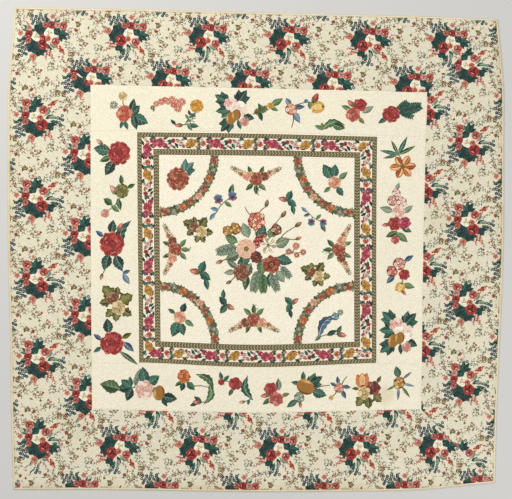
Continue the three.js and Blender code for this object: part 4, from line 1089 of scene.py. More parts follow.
# The bouquets that a repeat touches, half a bouquet's size, and the room that twigs leave round it
BOUQUETS = ((0, 0), (450, 0), (236, -257), (686, -257))
BOUQUET_WIDE, BOUQUET_HIGH, BOUQUET_ROOM = 128, 112, 0.92


def draw_filler(k, rng):
    """Sprigs and hearts in their places, and twigs wherever the bouquets leave room."""
    for row in range(FILLER_ROWS):
        for column in range(FILLER_COLUMNS):
            a = (column + 0.5 * (row % 2) + rng.uniform(0.2, 0.8)) / FILLER_COLUMNS
            b = (row + rng.uniform(0.2, 0.8)) / FILLER_ROWS
            x = REPEAT_ALONG[0] * a + REPEAT_DOWN[0] * b
            y = REPEAT_DOWN[1] * b
            turn, length = rng.uniform(0, 360), rng.uniform(38, 62)
            ink = rng.choice(("twig", "twig", "olive", "twig", "forest", "brown"))
            near = min(math.hypot((x - cx) / BOUQUET_WIDE, (y - cy) / BOUQUET_HIGH) for cx, cy in BOUQUETS)
            if near > BOUQUET_ROOM:
                draw(k, [("twig", x, y, length, turn, ink)], rng)
    draw(k, FILLER, rng)


BERRY, BERRY_LIGHT, BERRY_TURN = 9.6, 5.0, 2.4


def draw_chintz_bouquet(k, rng):
    """Heaps of berries with small leaves, and the flowers over them."""
    for x, y, wide, high, count in BERRIES:
        for i in range(count):
            a, d = BERRY_TURN * i + x, math.sqrt((i + 0.5) / count)
            px, py = x + d * wide * math.cos(a), y + d * high * math.sin(a)
            k.add(disc(px, py, BERRY, 6, 0, 0, i), PAINTS["navy"][i % 2])
            k.add(disc(px, py, BERRY_LIGHT, 5, 0, 0, i), PAINTS["navy"][2 + i % 2])
            if i % 3 == 0:
                k.add(wedge(px, py, 5, 20, 90 + 70 * math.sin(i), 4.0), PAINTS["forest"][0])
    draw(k, CHINTZ, rng)


STRAIGHT_REACH = 44.0  # the longest edge that takes the place of two in line
STRAIGHT_ERROR = 0.12  # the farthest that a dropped point may be from the line
SLIVER = 0.08  # the farthest that a triangle's middle may be from the first cut


def seen_edges(flat, cells, inks):
    """Edges between different inks or at the cloth's rim, without the points that a straight line
    doesn't need."""
    pairs = np.sort(np.concatenate([cells[:, [0, 1]], cells[:, [1, 2]], cells[:, [2, 0]]]), axis=1)
    owner = np.tile(inks, 3)
    order = np.lexsort((pairs[:, 1], pairs[:, 0]))
    pairs, owner = pairs[order], owner[order]
    same = (pairs[1:] == pairs[:-1]).all(axis=1)
    inner = np.zeros(len(pairs), bool)
    alike = same & (owner[1:] == owner[:-1])
    inner[1:] |= alike
    inner[:-1] |= alike
    again = np.r_[False, same]
    near = {}
    for a, b in pairs[~inner & ~again].tolist():
        near.setdefault(a, []).append(b)
        near.setdefault(b, []).append(a)
    place = flat.tolist()
    for i, ends in list(near.items()):
        if len(ends) != 2 or ends[0] == ends[1]:
            continue
        a, b = ends
        (x, y), (ax, ay), (bx, by) = place[i], place[a], place[b]
        length = math.hypot(bx - ax, by - ay)
        if length > STRAIGHT_REACH or length < 1e-6 or b in near[a]:
            continue
        if abs((bx - ax) * (y - ay) - (by - ay) * (x - ax)) / length > STRAIGHT_ERROR:
            continue
        near[a][near[a].index(i)] = b
        near[b][near[b].index(i)] = a
        del near[i]
    return [(a, b) for a in near for b in near[a] if a < b], sorted(near)


def cut_up(k, outline=None, rings=(), lines=(), dots=()):
    """Triangles of one cloth, inside the outline or else inside all outlines marked cut: points on
    the cut cloth, triangles and the ink of each. Triangles have corners at the dots too. The first
    cut finds the ink that shows at each place, and the second keeps no edges under other inks."""
    points, faces = [], []
    for p in ([] if outline is None else [outline]) + k.outlines:
        faces.append(list(range(len(points), len(points) + len(p))))
        points.extend(Vector(q) for q in np.asarray(p).tolist())
    first = 0 if outline is None else 1
    found, _, cells, _, _, origins = delaunay_2d_cdt(points, [], faces, 0, 1e-6, True)
    cut = [False] * first + k.cuts
    keep, tops = [], []
    for cell, origin in zip(cells, origins):
        if origin and (min(origin) == 0 if first else any(cut[i] for i in origin)):
            keep.append(cell)
            tops.append(max(origin))
    table, kinds = np.unique(np.array([k.ground] * first + k.inks, float), axis=0, return_inverse=True)
    shown = kinds.ravel()[tops]
    flat = np.array([(p[0], p[1]) for p in found], float)
    below = BVHTree.FromPolygons([(x, y, 0.0) for x, y in flat.tolist()], keep, all_triangles=True)
    edges, corners = seen_edges(flat, np.array(keep, int), shown)
    order = {corner: i for i, corner in enumerate(corners)}
    points = [Vector(q) for q in flat[corners].tolist()]
    edges = [(order[a], order[b]) for a, b in edges]
    for loop, closed in [(ring, True) for ring in rings] + [(line, False) for line in lines]:
        ids = list(range(len(points), len(points) + len(loop)))
        points.extend(Vector(q) for q in np.asarray(loop).tolist())
        edges += list(zip(ids, ids[1:] + ids[:1] if closed else ids[1:]))
    points.extend(Vector(q) for q in np.asarray(dots).tolist())
    found, _, cells, _, _, _ = delaunay_2d_cdt(points, edges, [], 0, 1e-6, False)
    flat = np.array([(p[0], p[1]) for p in found], float)
    cells = np.array(cells, int)
    a, b, c = flat[cells[:, 0]], flat[cells[:, 1]], flat[cells[:, 2]]
    twice = (b[:, 0] - a[:, 0]) * (c[:, 1] - a[:, 1]) - (b[:, 1] - a[:, 1]) * (c[:, 0] - a[:, 0])
    hits = [below.find_nearest((x, y, 0.0), SLIVER)[2] for x, y in ((a + b + c) / 3).tolist()]
    solid = np.array([hit is not None for hit in hits])
    colours = table[shown[[hit or 0 for hit in hits]]][solid]
    used, cells = np.unique(cells[solid], return_inverse=True)
    return flat[used], cells.reshape(-1, 3), colours, float(np.abs(twice[solid]).sum() / 2)


def rim(cells):
    """Directed edges with cloth on their left only."""
    pairs = np.concatenate([cells[:, [0, 1]], cells[:, [1, 2]], cells[:, [2, 0]]])
    size = cells.max() + 1
    forth = pairs[:, 0] * size + pairs[:, 1]
    back = pairs[:, 1] * size + pairs[:, 0]
    alone = ~np.isin(forth, back)
    return pairs[alone], np.tile(np.arange(len(cells)), 3)[alone]


ROW_ROOM, SIDE_ROOM, ROW_GAP = 34.0, 6.0, 14  # in the bake


def unfold(corners, low, high):
    """Bake coordinates in millimetres for a long piece, folded into rows with room between them."""
    span = high - low
    axis = 0 if span[0] >= span[1] else 1
    aspect = span[axis] / max(span[1 - axis], 1)
    count = max(1, round(math.sqrt(aspect)) if aspect > 1.8 else 1)
    step = span[axis] / count
    room = ROW_ROOM if count > 1 else SIDE_ROOM
    middle = corners.mean(axis=1)[:, axis]
    row = np.clip(((middle - low[axis]) / step).astype(int), 0, count - 1)
    along = corners[:, :, axis] - low[axis] - row[:, None] * step + room
    pitch = span[1 - axis] + ROW_GAP
    across = corners[:, :, 1 - axis] - low[1 - axis] + row[:, None] * pitch + ROW_GAP / 2
    turned = across if axis == 0 else pitch * count - across
    return np.stack([along, turned], 2), (step + 2 * room, count * pitch)


def make_mesh(name, points, cells, colours, normals, quilt, uv, material):
    """An object of triangles with its print, quilting and bake coordinates."""
    mesh = bpy.data.meshes.new(name)
    mesh.from_pydata((points * MM).tolist(), [], cells.tolist())
    count = len(mesh.polygons)
    mesh.polygons.foreach_set("use_smooth", np.ones(count, bool))
    rgba = np.ones((count, 3, 4))
    rgba[:, :, :3] = colours[:, None, :]
    mesh.attributes.new("print", "FLOAT_COLOR", "CORNER").data.foreach_set("color", rgba.ravel())
    mesh.attributes.new("quilt", "FLOAT_VECTOR", "POINT").data.foreach_set("vector", quilt.ravel())
    mesh.uv_layers.new(name="OFBake").data.foreach_set("uv", uv.ravel())
    mesh.normals_split_custom_set(normals.reshape(-1, 3).tolist())
    mesh.materials.append(material)
    obj = bpy.data.objects.new(name, mesh)
    bpy.context.scene.collection.objects.link(obj)
    return obj


INWARDS, STEP = 0.14, 0.06  # share of the way to the middle, and half a slope's base


def slope_normals(height, corners):
    """Normals of the height at points just inside each corner of each triangle."""
    middle = corners.mean(axis=1, keepdims=True)
    p = corners + (middle - corners) * INWARDS
    u, v = p[:, :, 0].ravel(), p[:, :, 1].ravel()
    du = (height(u + STEP, v) - height(u - STEP, v)) / (2 * STEP)
    dv = (height(u, v + STEP) - height(u, v - STEP)) / (2 * STEP)
    n = np.stack([-du, -dv, np.ones_like(du)], 1)
    n /= np.linalg.norm(n, axis=1)[:, None]
    return n.reshape(-1, 3, 3)


# The first number is painted shade: a cloth's cut edge takes its print a little darker, as a side wall in
# shadow would look.
WALL_PAINTED_SHADE, WALL_LIFT = 0.93, 0.35  # of a cloth's cut edge: its tone and the rise of its normals
UNDER_SIZE, UNDER_U, UNDER_V = 0.038, 0.04, 0.004  # of the underside in the bake
WALL_AWAY = {True: 3.0, False: 0.3}  # width of the walls in the bake, for closed and open pieces
BAKE_ROOM = {True: 1.05, False: 1.004}


def cloth_piece(name, flat, cells, colours, quilting, shape, puff, low, material, closed, soft_rim=0.0):
    """One cloth as a mesh. shape gives its height and puff the height that its shading follows; its
    walls go down to low(u, v), and a closed piece has an underside."""
    u, v = flat[:, 0], flat[:, 1]
    top = shape(u, v)
    edge, owner = rim(cells)
    ends = np.unique(edge)
    top[ends] -= soft_rim
    x, y = cloth(u, v)
    points = [np.stack([x, y, top], 1), np.stack([x[ends], y[ends], low(u[ends], v[ends])], 1)]
    below = np.zeros(len(flat), int)
    below[ends] = len(flat) + np.arange(len(ends))
    a, b = edge[:, 0], edge[:, 1]
    walls = np.concatenate([
        np.stack([below[a], below[b], b], 1),
        np.stack([below[a], b, a], 1),
    ])
    way = flat[b] - flat[a]
    out = np.stack([way[:, 1], -way[:, 0]], 1)
    out /= np.maximum(np.linalg.norm(out, axis=1), 1e-9)[:, None]
    away = WALL_AWAY[closed]
    wall_uv = np.concatenate([
        np.stack([flat[a] + out * away, flat[b] + out * away, flat[b]], 1),
        np.stack([flat[a] + out * away, flat[b], flat[a]], 1),
    ])
    wall_normal = np.repeat(np.concatenate([out, out])[:, None, :], 3, axis=1)
    wall_normal = np.concatenate([wall_normal, np.full_like(wall_normal[:, :, :1], WALL_LIFT)], 2)
    all_cells = [cells, walls]
    # The walls take their faces' print, darkened: painted shade on the cut edges.
    all_inks = [colours, np.concatenate([colours[owner]] * 2) * WALL_PAINTED_SHADE]
    normals = [slope_normals(puff, flat[cells]), wall_normal]
    corners = np.concatenate([flat[cells], wall_uv])
    reach = np.array([flat.min(axis=0) - away, flat.max(axis=0) + away])
    uv, size = unfold(corners, reach[0], reach[1])
    whole = BAKE_ROOM[closed] * max(size)
    uv /= whole
    if closed:
        hub = len(flat) + len(ends)
        centre = np.array([[x.mean(), y.mean(), points[1][:, 2].mean()]])
        points.append(centre)
        under = np.stack([np.full(len(a), hub), below[b], below[a]], 1)
        all_cells.append(under)
        all_inks.append(np.tile(BACKING, (len(under), 1)))
        normals.append(np.tile([0.0, 0.0, -1.0], (len(under), 3, 1)))
        span = (reach[1] - reach[0]).max()
        place = np.concatenate([flat, flat[ends], [flat[ends].mean(axis=0)]])
        down = (place[under] - reach[0]) / span * UNDER_SIZE
        down[:, :, 0] *= -1
        down += (UNDER_U, max(size[1] / whole, 0.0) + UNDER_V)
        uv = np.concatenate([uv, down])
    points = np.concatenate(points)
    quilt = np.zeros((len(points), 3))
    quilt[: len(flat), 0] = quilting.phase(u, v)
    quilt[: len(flat), 1] = quilting.stitches(u, v)
    quilt[: len(flat), 2] = 1
    return make_mesh(name, points, np.concatenate(all_cells), np.concatenate(all_inks),
                     np.concatenate(normals), quilt, np.clip(uv, 0.0, 1.0), material)


def inset(corners, d):
    """A convex outline, anticlockwise, moved in by d."""
    p = np.array(corners, float)
    way = np.roll(p, -1, axis=0) - p
    way /= np.linalg.norm(way, axis=1)[:, None]
    normal = np.stack([-way[:, 1], way[:, 0]], 1)
    found = []
    for i in range(len(p)):
        j = i - 1
        m = np.array([normal[j], normal[i]])
        found.append(np.linalg.solve(m, [normal[j] @ p[i] + d, normal[i] @ p[i] + d]))
    return np.array(found)


def densify(corners, step=46.0):
    """An outline with no side longer than about a step, so that it bends with the cloth."""
    found = []
    for a, b in zip(corners, np.roll(corners, -1, axis=0)):
        count = max(1, round(float(np.linalg.norm(b - a)) / step))
        found.append(a + (b - a) * np.arange(count)[:, None] / count)
    return np.concatenate(found)


def depth_in(corners, u, v):
    """Distance in from the sides of a convex outline."""
    p = np.array(corners, float)
    found = np.full_like(u, 1e9)
    for a, b in zip(p, np.roll(p, -1, axis=0)):
        way = (b - a) / np.linalg.norm(b - a)
        found = np.minimum(found, -(u - a[0]) * way[1] + (v - a[1]) * way[0])
    return found


GROOVE_DEPTH, GROOVE_WIDTH = 1.5, 9.0  # of the dip along a seam
RINGS = (1.5, 4.0, 9.0)  # distances in from a seam at which the dip has points
SEAM_GAP = 0.15  # half the gap between two cloths
UNDERSIDE = 0.25  # height of the ground cloths' underside
BACKING = linear("e6dcc0")
RISE, FALL = Quilting(45), Quilting(-45)
# Ground cloths: outline, way of the quilting
PLAIN = {
    "centre_panel": ([(-655, -648), (655, -648), (655, 648), (-655, 648)], RISE),
    "plain_left": ([(-935, -648), (-655, -648), (-655, 648), (-935, 648)], FALL),
    "plain_right": ([(655, -648), (935, -648), (935, 648), (655, 648)], RISE),
    "plain_top": ([(-935, 648), (935, 648), (935, 904), (-935, 904)], FALL),
    "plain_bottom": ([(-935, -904), (935, -904), (935, -648), (-935, -648)], RISE),
}
IN_U, IN_V = EDGE[0] - BINDING_WIDTH - 0.3, EDGE[1] - BINDING_WIDTH - 0.3
# The same for the chintz, with a place of its bouquet and the turn of its print
BORDER = {
    "chintz_top": ([(-935, 904), (935, 904), (IN_U, IN_V), (-IN_U, IN_V)], FALL, (-738, 1189), 0),
    "chintz_bottom": ([(-IN_U, -IN_V), (IN_U, -IN_V), (935, -904), (-935, -904)], RISE, (-794, -1116), 0),
    "chintz_left": ([(-IN_U, -IN_V), (-935, -904), (-935, 904), (-IN_U, IN_V)], FALL, (-1219, 713), 90),
    "chintz_right": ([(935, -904), (IN_U, -IN_V), (IN_U, IN_V), (935, 904)], RISE, (1181, 584), 90),
}


def stitched(quilting, depth, amount, printed=True):
    """Height of the cloth's form and of its shading, over the long waves, for one cloth. A printed
    cloth's material adds the shading of its quilting."""

    def rest(u, v):
        d = depth(u, v)
        near = np.clip(d / GROOVE_WIDTH, 0, 1)
        fade = near * near * (3 - 2 * near) * amount
        return fade, top_height(u, v) - GROOVE_DEPTH * (1 - near) ** 2

    def shape(u, v):
        fade, base = rest(u, v)
        return base + quilting.relief(u, v) * fade

    def puff(u, v):
        fade, base = rest(u, v)
        if printed:
            return base
        return base - PUFF * RELIEF * (1 - np.abs(np.sin(np.pi * quilting.phase(u, v)))) * fade

    return shape, puff


def ground_piece(name, corners, quilting, k, material):
    """One of the pieced cloths, with the filling and the back under it."""
    own = inset(corners, SEAM_GAP)
    rings = [densify(inset(own, d)) for d in RINGS]
    printed = len(k.outlines) > 0
    lines = [] if printed else quilting.lines(own, RINGS[-1] + 0.4)
    dots = quilting.dots(own, RINGS[-1] + 1) if printed else []
    flat, cells, inks, _ = cut_up(k, densify(own), rings, lines, dots)
    shape, puff = stitched(quilting, lambda u, v: depth_in(own, u, v), 1.0, printed)
    piece = cloth_piece(name, flat, cells, inks, quilting, shape, puff,
                        lambda u, v: np.full_like(u, UNDERSIDE), material, True)
    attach(piece, "root")
    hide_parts("quilt_body")


REPEATS_ALONG, REPEATS_DOWN, REPEAT_REACH = range(-9, 10), range(-14, 15), 420


def stamp(k, unit, corners, anchor, turn):
    """Adds a repeat's outlines at each place of the lattice where they meet a convex cloth."""
    c, s = math.cos(math.radians(turn)), math.sin(math.radians(turn))
    points = np.concatenate(unit.outlines)
    points = np.stack([c * points[:, 0] - s * points[:, 1], s * points[:, 0] + c * points[:, 1]], 1)
    starts = np.cumsum([0] + [len(p) for p in unit.outlines])
    sides = [(a, b) for a, b in zip(np.array(corners, float), np.roll(np.array(corners, float), -1, axis=0))]
    low = np.min(corners, axis=0) - REPEAT_REACH
    high = np.max(corners, axis=0) + REPEAT_REACH
    for m in REPEATS_ALONG:
        for n in REPEATS_DOWN:
            x = REPEAT_ALONG[0] * m + REPEAT_DOWN[0] * n
            y = REPEAT_ALONG[1] * m + REPEAT_DOWN[1] * n
            at = np.array([anchor[0] + c * x - s * y, anchor[1] + s * x + c * y])
            if (at < low).any() or (at > high).any():
                continue
            p = points + at
            meets = np.ones(len(unit.outlines), bool)
            for a, b in sides:
                way = (b - a) / np.linalg.norm(b - a)
                inside = -(p[:, 0] - a[0]) * way[1] + (p[:, 1] - a[1]) * way[0]
                meets &= np.maximum.reduceat(inside, starts[:-1]) > 0.5
            for i in np.nonzero(meets)[0]:
                k.outlines.append(p[starts[i] : starts[i + 1]])
                k.inks.append(unit.inks[i])
                k.cuts.append(False)


SKIN_RELIEF = 0.8  # share of the quilting that shows in a sewn cloth
SKIN_HEIGHT, SKIN_LIFT = 0.85, 0.1  # of its face and its lower rim over the ground
SOFT_RIM = 0.35  # that its face falls at the rim


def skin(name, k, quilting, outline=None):
    """A cloth sewn on: the piece that takes the place of the CAD node of that name."""
    corners = np.concatenate(k.outlines if outline is None else [outline])
    low, high = corners.min(axis=0), corners.max(axis=0)
    box = [(low[0], low[1]), (high[0], low[1]), (high[0], high[1]), (low[0], high[1])]
    flat, cells, inks, area = cut_up(k, outline, (), (), quilting.dots(box, 0.0))

    def far(u, v):
        return np.full_like(u, 10 * GROOVE_WIDTH)

    shape, puff = stitched(quilting, far, SKIN_RELIEF)
    ground, _ = stitched(quilting, far, 1.0)
    piece = cloth_piece("sewn_" + name, flat, cells, inks, quilting, lambda u, v: shape(u, v) + SKIN_HEIGHT,
                        puff, lambda u, v: ground(u, v) + SKIN_LIFT, SKIN, False, SOFT_RIM)
    area *= MM * MM
    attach(piece, "root")
    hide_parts(name)


# The flower stripe's repeat: what, along, out from the strip's inner side, size, turn, ink
STRIPE_REPEAT = 320.0
STRIPE = [
    ("leaf", -20, 84, 40, 150, "forest"), ("leaf", 20, 86, 32, 20, "forest"),
    ("leaf", -26, 46, 36, 200, "forest"), ("leaf", 30, 44, 34, -14, "forest"),
    ("leaf", 44, 78, 38, -10, "forest"), ("leaf", 48, 56, 34, 40, "forest"),
    ("leaf", 70, 52, 30, -40, "forest"), ("leaf", 92, 86, 34, -30, "forest"),
    ("leaf", 88, 66, 36, -60, "forest"), ("leaf", 110, 50, 30, 20, "teal"),
    ("leaf", 120, 82, 30, 10, "sage"), ("leaf", 146, 50, 36, -20, "forest"),
    ("leaf", 158, 84, 34, 150, "forest"), ("leaf", 206, 84, 34, 20, "forest"),
    ("leaf", 204, 46, 32, -30, "forest"), ("leaf", 262, 84, 34, 10, "forest"),
    ("leaf", 262, 46, 36, 20, "forest"), ("leaf", 280, 60, 30, 60, "forest"),
    ("leaf", 236, 42, 30, 170, "teal"), ("leaf", 290, 82, 26, -70, "forest"),
    ("rose", 2, 66, 29, 0, "crimson"), ("rose", 31, 50, 16, 0, "crimson"),
    ("rose", -28, 76, 15, 0, "crimson"), ("rose", -30, 50, 12, 0, "rose"),
    ("floret", 78, 78, 13, 0, "red"), ("floret", 66, 50, 9, 0, "pink"), ("rose", 122, 66, 14, 0, "white"),
    ("floret", 104, 74, 9, 0, "pink"), ("floret", 136, 46, 9, 0, "crimson"),
    ("rose", 180, 66, 27, 0, "ochre"), ("rose", 160, 56, 14, 0, "gold"), ("rose", 200, 74, 14, 0, "gold"),
    ("floret", 219, 76, 10, 0, "bluegreen"), ("floret", 224, 58, 11, 0, "bluegreen"),
    ("floret", 214, 46, 8, 0, "pink"), ("rose", 246, 64, 17, 0, "coral"),
    ("floret", 240, 84, 9, 0, "white"), ("floret", 274, 74, 10, 0, "crimson"),
    ("floret", 288, 46, 9, 0, "rose"),
]
# Sides of the frame: turn, half length, half width, where the stripe's repeat begins, quilting
SIDES = {
    "top": (0, FRAME[0], FRAME[1], -223, FALL),
    "left": (90, FRAME[1], FRAME[0], -90, FALL),
    "bottom": (180, FRAME[0], FRAME[1], -57, RISE),
    "right": (270, FRAME[1], FRAME[0], 25, RISE),
}
DOT_PITCH = 8.6
BAND_GROUND, BAND_EDGE = linear("7b7250"), linear("3f3a22")
BAND_DARK, BAND_PALE = linear("38321f"), linear("cabb92")
BAND_EDGE_WIDTH = 2.4
STRIPE_GROUND = linear("f3ead6")
BANDS = [(0.0, 31.0, 3), (97.0, 122.0, 2)]  # from, to, rows of dots


def frame_strip(side):
    """One side of the frame: the flower stripe between two dotted bands, mitred."""
    turn, half, reach, start, quilting = SIDES[side]
    rng = random.Random(7)
    k = Print(STRIPE_GROUND, 24.0, 999.0)
    inner = reach - FRAME_WIDTH
    k.push(0, 0, turn)
    end = [half - FRAME_WIDTH - 0.3, half - 0.3]

    def mitre(t):
        return end[0] + (end[1] - end[0]) * t / FRAME_WIDTH

    def band(low, high):
        near, far = mitre(low), mitre(high)
        return densify(np.array([(-near, low), (near, low), (far, high), (-far, high)]))

    for low, high, rows in BANDS:
        k.push(0, inner)
        k.add(band(low, high), BAND_GROUND)
        for row in range(rows):
            t = low + 3 + (high - low - 6) * (row + 0.5) / rows
            count = int(2 * (mitre(t) - 6) / DOT_PITCH)
            for i in range(count):
                s = (i + 0.5 * (row % 2) - count / 2 + 0.25) * DOT_PITCH
                pale = (i + row) % 2 == 0
                k.add(disc(s, t, 3.0 if pale else 4.2, 4, 0, 0, i), BAND_PALE if pale else BAND_DARK)
        for t in (low, high - BAND_EDGE_WIDTH):
            k.add(band(t, t + BAND_EDGE_WIDTH), BAND_EDGE)
        k.pop()
    first = math.floor((-half - start) / STRIPE_REPEAT) - 1
    for m in range(first, first + 8):
        s0 = start + m * STRIPE_REPEAT
        t = np.linspace(0, STRIPE_REPEAT, 11)
        stem = np.stack([t, 64 + 9 * np.sin(t / STRIPE_REPEAT * 4 * np.pi)], 1)
        if abs(s0 + STRIPE_REPEAT / 2) < half + STRIPE_REPEAT / 2:
            k.push(s0, inner)
            k.add(strip(stem, 2.6), PAINTS["green"][1])
            k.pop()
    for low in (True, False):
        for m in range(first, first + 8):
            for row in STRIPE:
                s = start + m * STRIPE_REPEAT + row[1]
                if abs(s) < mitre(row[2]) + row[3] and (row[0] == "leaf") == low:
                    k.push(0, inner)
                    draw(k, [(row[0], s, row[2], row[3], row[4], row[5])], rng)
                    k.pop()
    k.pop()
    c, s = math.cos(math.radians(turn)), math.sin(math.radians(turn))
    corners = np.array([(-end[0], inner), (end[0], inner), (end[1], reach), (-end[1], reach)])
    corners = np.stack([c * corners[:, 0] - s * corners[:, 1], s * corners[:, 0] + c * corners[:, 1]], 1)
    skin("frame_" + side, k, quilting, densify(corners))


GARLAND_LEAVES, GARLAND_ROSES, GARLAND_STEPS = 76, 9, 40
GARLAND_GROUND = linear("54563f")
LEAF_INKS = ("sage", "olive", "grey", "green", "sage", "olive", "forest")
ROSE_INKS = ("rust", "grey", "orange", "rust", "peach", "rust", "orange", "grey", "rust")
FLORET_INKS = ("cream", "rust", "grey", "pink")
GARLANDS = {
    "garland_top_left": (-1, 1),
    "garland_top_right": (1, 1),
    "garland_bottom_right": (1, -1),
    "garland_bottom_left": (-1, -1),
}


def garland(name, sign_u, sign_v):
    """A leafy band with roses, a quarter round the corner of the field."""
    rng = random.Random(31)
    k = Print(flowers=17.0, leaves=999.0)
    corner = (FRAME[0] - FRAME_WIDTH - 2, FRAME[1] - FRAME_WIDTH - 2)

    def at(share, out):
        a = math.pi / 2 * share
        r = GARLAND_RADIUS + out
        x, y = corner[0] - r * math.cos(a), corner[1] - r * math.sin(a)
        return sign_u * x, sign_v * y, math.degrees(math.atan2(-sign_v * math.sin(a), -sign_u * math.cos(a)))

    def edge(side):
        return [at(i / GARLAND_STEPS, side * (GARLAND_WIDTH * 0.4 + 2.6 * (-1) ** i))[:2]
                for i in range(GARLAND_STEPS + 1)]

    k.add(np.array(edge(1) + edge(-1)[::-1]), GARLAND_GROUND, True)
    for i in range(GARLAND_LEAVES):
        share = (i + 0.5) / GARLAND_LEAVES
        side = 1 if i % 2 else -1
        x, y, turn = at(share, side * rng.uniform(3, 11))
        ink = LEAF_INKS[i % len(LEAF_INKS)]
        k.push(x, y, (turn if side > 0 else turn + 180) + rng.uniform(-58, 58))
        draw_leaf(k, rng.uniform(20, 28), PAINTS[ink], rng, 0.25)
        k.pop()
    for i in range(GARLAND_ROSES):
        share = 0.05 + 0.9 * i / (GARLAND_ROSES - 1)
        x, y, _ = at(share, 5 * math.sin(i * 2.1))
        k.push(x, y, rng.uniform(0, 360))
        if ROSE_INKS[i] == "grey":
            draw_floret(k, 15.5, PAINTS["grey"], rng)
        else:
            draw_rose(k, 21.0 if i % 2 == 0 else 18.5, PAINTS[ROSE_INKS[i]], rng)
        k.pop()
        x, y, _ = at(min(share + 0.058, 0.97), -10 * math.sin(i * 2.1 + 0.6))
        k.push(x, y)
        draw_floret(k, 8.5, PAINTS[FLORET_INKS[i % 4]], rng)
        k.pop()
    skin(name, k, RISE)


def on_which(x, y):
    """The plain cloth that a place is on."""
    for name, (corners, _) in PLAIN.items():
        if depth_in(corners, np.array([x]), np.array([y]))[0] > 0:
            return name


def spray(name, kind, x, y, turn, scale):
    """A spray cut from printed cloth. A negative scale mirrors its kind."""
    rng = random.Random(name)
    k = Print()
    k.push(x, y, turn, abs(scale), 1 if scale > 0 else -1)
    draw(k, SPRAYS[kind], rng)
    k.pop()
    panel = on_which(x, y)
    skin(name, k, PLAIN[panel][1])


BINDING_SECTION = [  # distance in from the edge, height
    (0.6, 0.25), (BINDING_WIDTH - 0.4, 0.25), (BINDING_WIDTH, 1.2), (BINDING_WIDTH, BINDING_HEIGHT * 0.66),
    (BINDING_WIDTH * 0.93, BINDING_HEIGHT * 0.86), (BINDING_WIDTH * 0.72, BINDING_HEIGHT * 0.97),
    (BINDING_WIDTH * 0.5, BINDING_HEIGHT * 0.99), (BINDING_WIDTH * 0.28, BINDING_HEIGHT * 0.9),
    (BINDING_WIDTH * 0.12, BINDING_HEIGHT * 0.7), (BINDING_WIDTH * 0.02, BINDING_HEIGHT * 0.4),
    (BINDING_WIDTH * 0.02, 0.9),
]
TAPE_STEPS, TAPE_ROWS = 220, 9  # steps along one side, and rows that it is folded into for the bake
TAPE_ROOM, TAPE_ROW_GAP = 14, 16


def binding(side):
    """The tape round one side's edge, mitred at its ends, with small lumps where it was sewn."""
    level = side in ("top", "bottom")
    sign = 1 if side in ("top", "right") else -1
    length, reach = EDGE if level else EDGE[::-1]
    count = TAPE_STEPS
    rows = len(BINDING_SECTION)
    inwards = np.array([p[0] for p in BINDING_SECTION])
    height = np.array([p[1] for p in BINDING_SECTION])
    place = np.linspace(-length, length, count + 1)[:, None]
    mitre = length - inwards[None, :] - SEAM_GAP
    along = np.clip(place, -mitre, mitre)
    lumps = 0.16 * np.sin(place / 9.1) + 0.12 * np.sin(place / 5.3 + 1)
    z = height[None, :] + lumps * (height[None, :] > 3)
    rise = top_height(np.clip(along, -length + 40, length - 40).ravel(), np.full(along.size, reach - 12.0))
    z = z + (rise.reshape(along.shape) - BODY_THICKNESS) * 0.1 * (height[None, :] > 3)
    across = sign * (reach - inwards[None, :] + 0 * along)
    u, v = (along, across) if level else (across, along)
    x, y = cloth(u.ravel(), v.ravel())
    points = np.stack([x, y, z.ravel()], 1)
    faces, corners = [], []
    girth = np.r_[0, np.cumsum(np.hypot(np.diff(inwards), np.diff(height)))]
    flip = sign < 0 if level else sign > 0
    for i in range(count):
        for r in range(rows):
            n = (r + 1) % rows
            a, b, c, d = i * rows + r, i * rows + n, (i + 1) * rows + n, (i + 1) * rows + r
            g0, g1 = girth[r], girth[r] + math.hypot(inwards[n] - inwards[r], height[n] - height[r])
            quad = [(a, i, g0), (d, i + 1, g0), (c, i + 1, g1), (b, i, g1)]
            for tri in ((0, 1, 2), (0, 2, 3)):
                ids = [quad[t] for t in tri]
                if flip:
                    ids.reverse()
                faces.append([t[0] for t in ids])
                corners.append([(t[1] * 2 * length / count, t[2]) for t in ids])
    for first, ahead in ((0, False), (count * rows, True)):
        for r in range(1, rows - 1):
            ids = [0, r, r + 1] if ahead == flip else [0, r + 1, r]
            faces.append([first + t for t in ids])
            corners.append([((2 * length + 2) if ahead else -12.0) + inwards[t] for t in ids])
            corners[-1] = [(c, height[t] * 2) for c, t in zip(corners[-1], ids)]
    mesh = bpy.data.meshes.new("tape_" + side)
    mesh.from_pydata((points * MM).tolist(), [], faces)
    corners = np.array(corners, float)
    corners[:, :, 0] += TAPE_ROOM
    uv = corners.copy()
    step = (2 * length + 2 * TAPE_ROOM + 2) / TAPE_ROWS
    row = np.clip((corners[:, :, 0].mean(axis=1) / step).astype(int), 0, TAPE_ROWS - 1)
    uv[:, :, 0] = (corners[:, :, 0] - row[:, None] * step + TAPE_ROOM) / (step + 2 * TAPE_ROOM)
    uv[:, :, 1] = (corners[:, :, 1] / (girth[-1] + TAPE_ROW_GAP) + row[:, None] + 0.05) / TAPE_ROWS
    mesh.uv_layers.new(name="OFBake").data.foreach_set("uv", np.clip(uv, 0, 1).ravel())
    mesh.polygons.foreach_set("use_smooth", np.ones(len(faces), bool))
    mesh.materials.append(TAPE)
    obj = bpy.data.objects.new("tape_" + side, mesh)
    bpy.context.scene.collection.objects.link(obj)
    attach(obj, "root")
    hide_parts("binding_" + side)


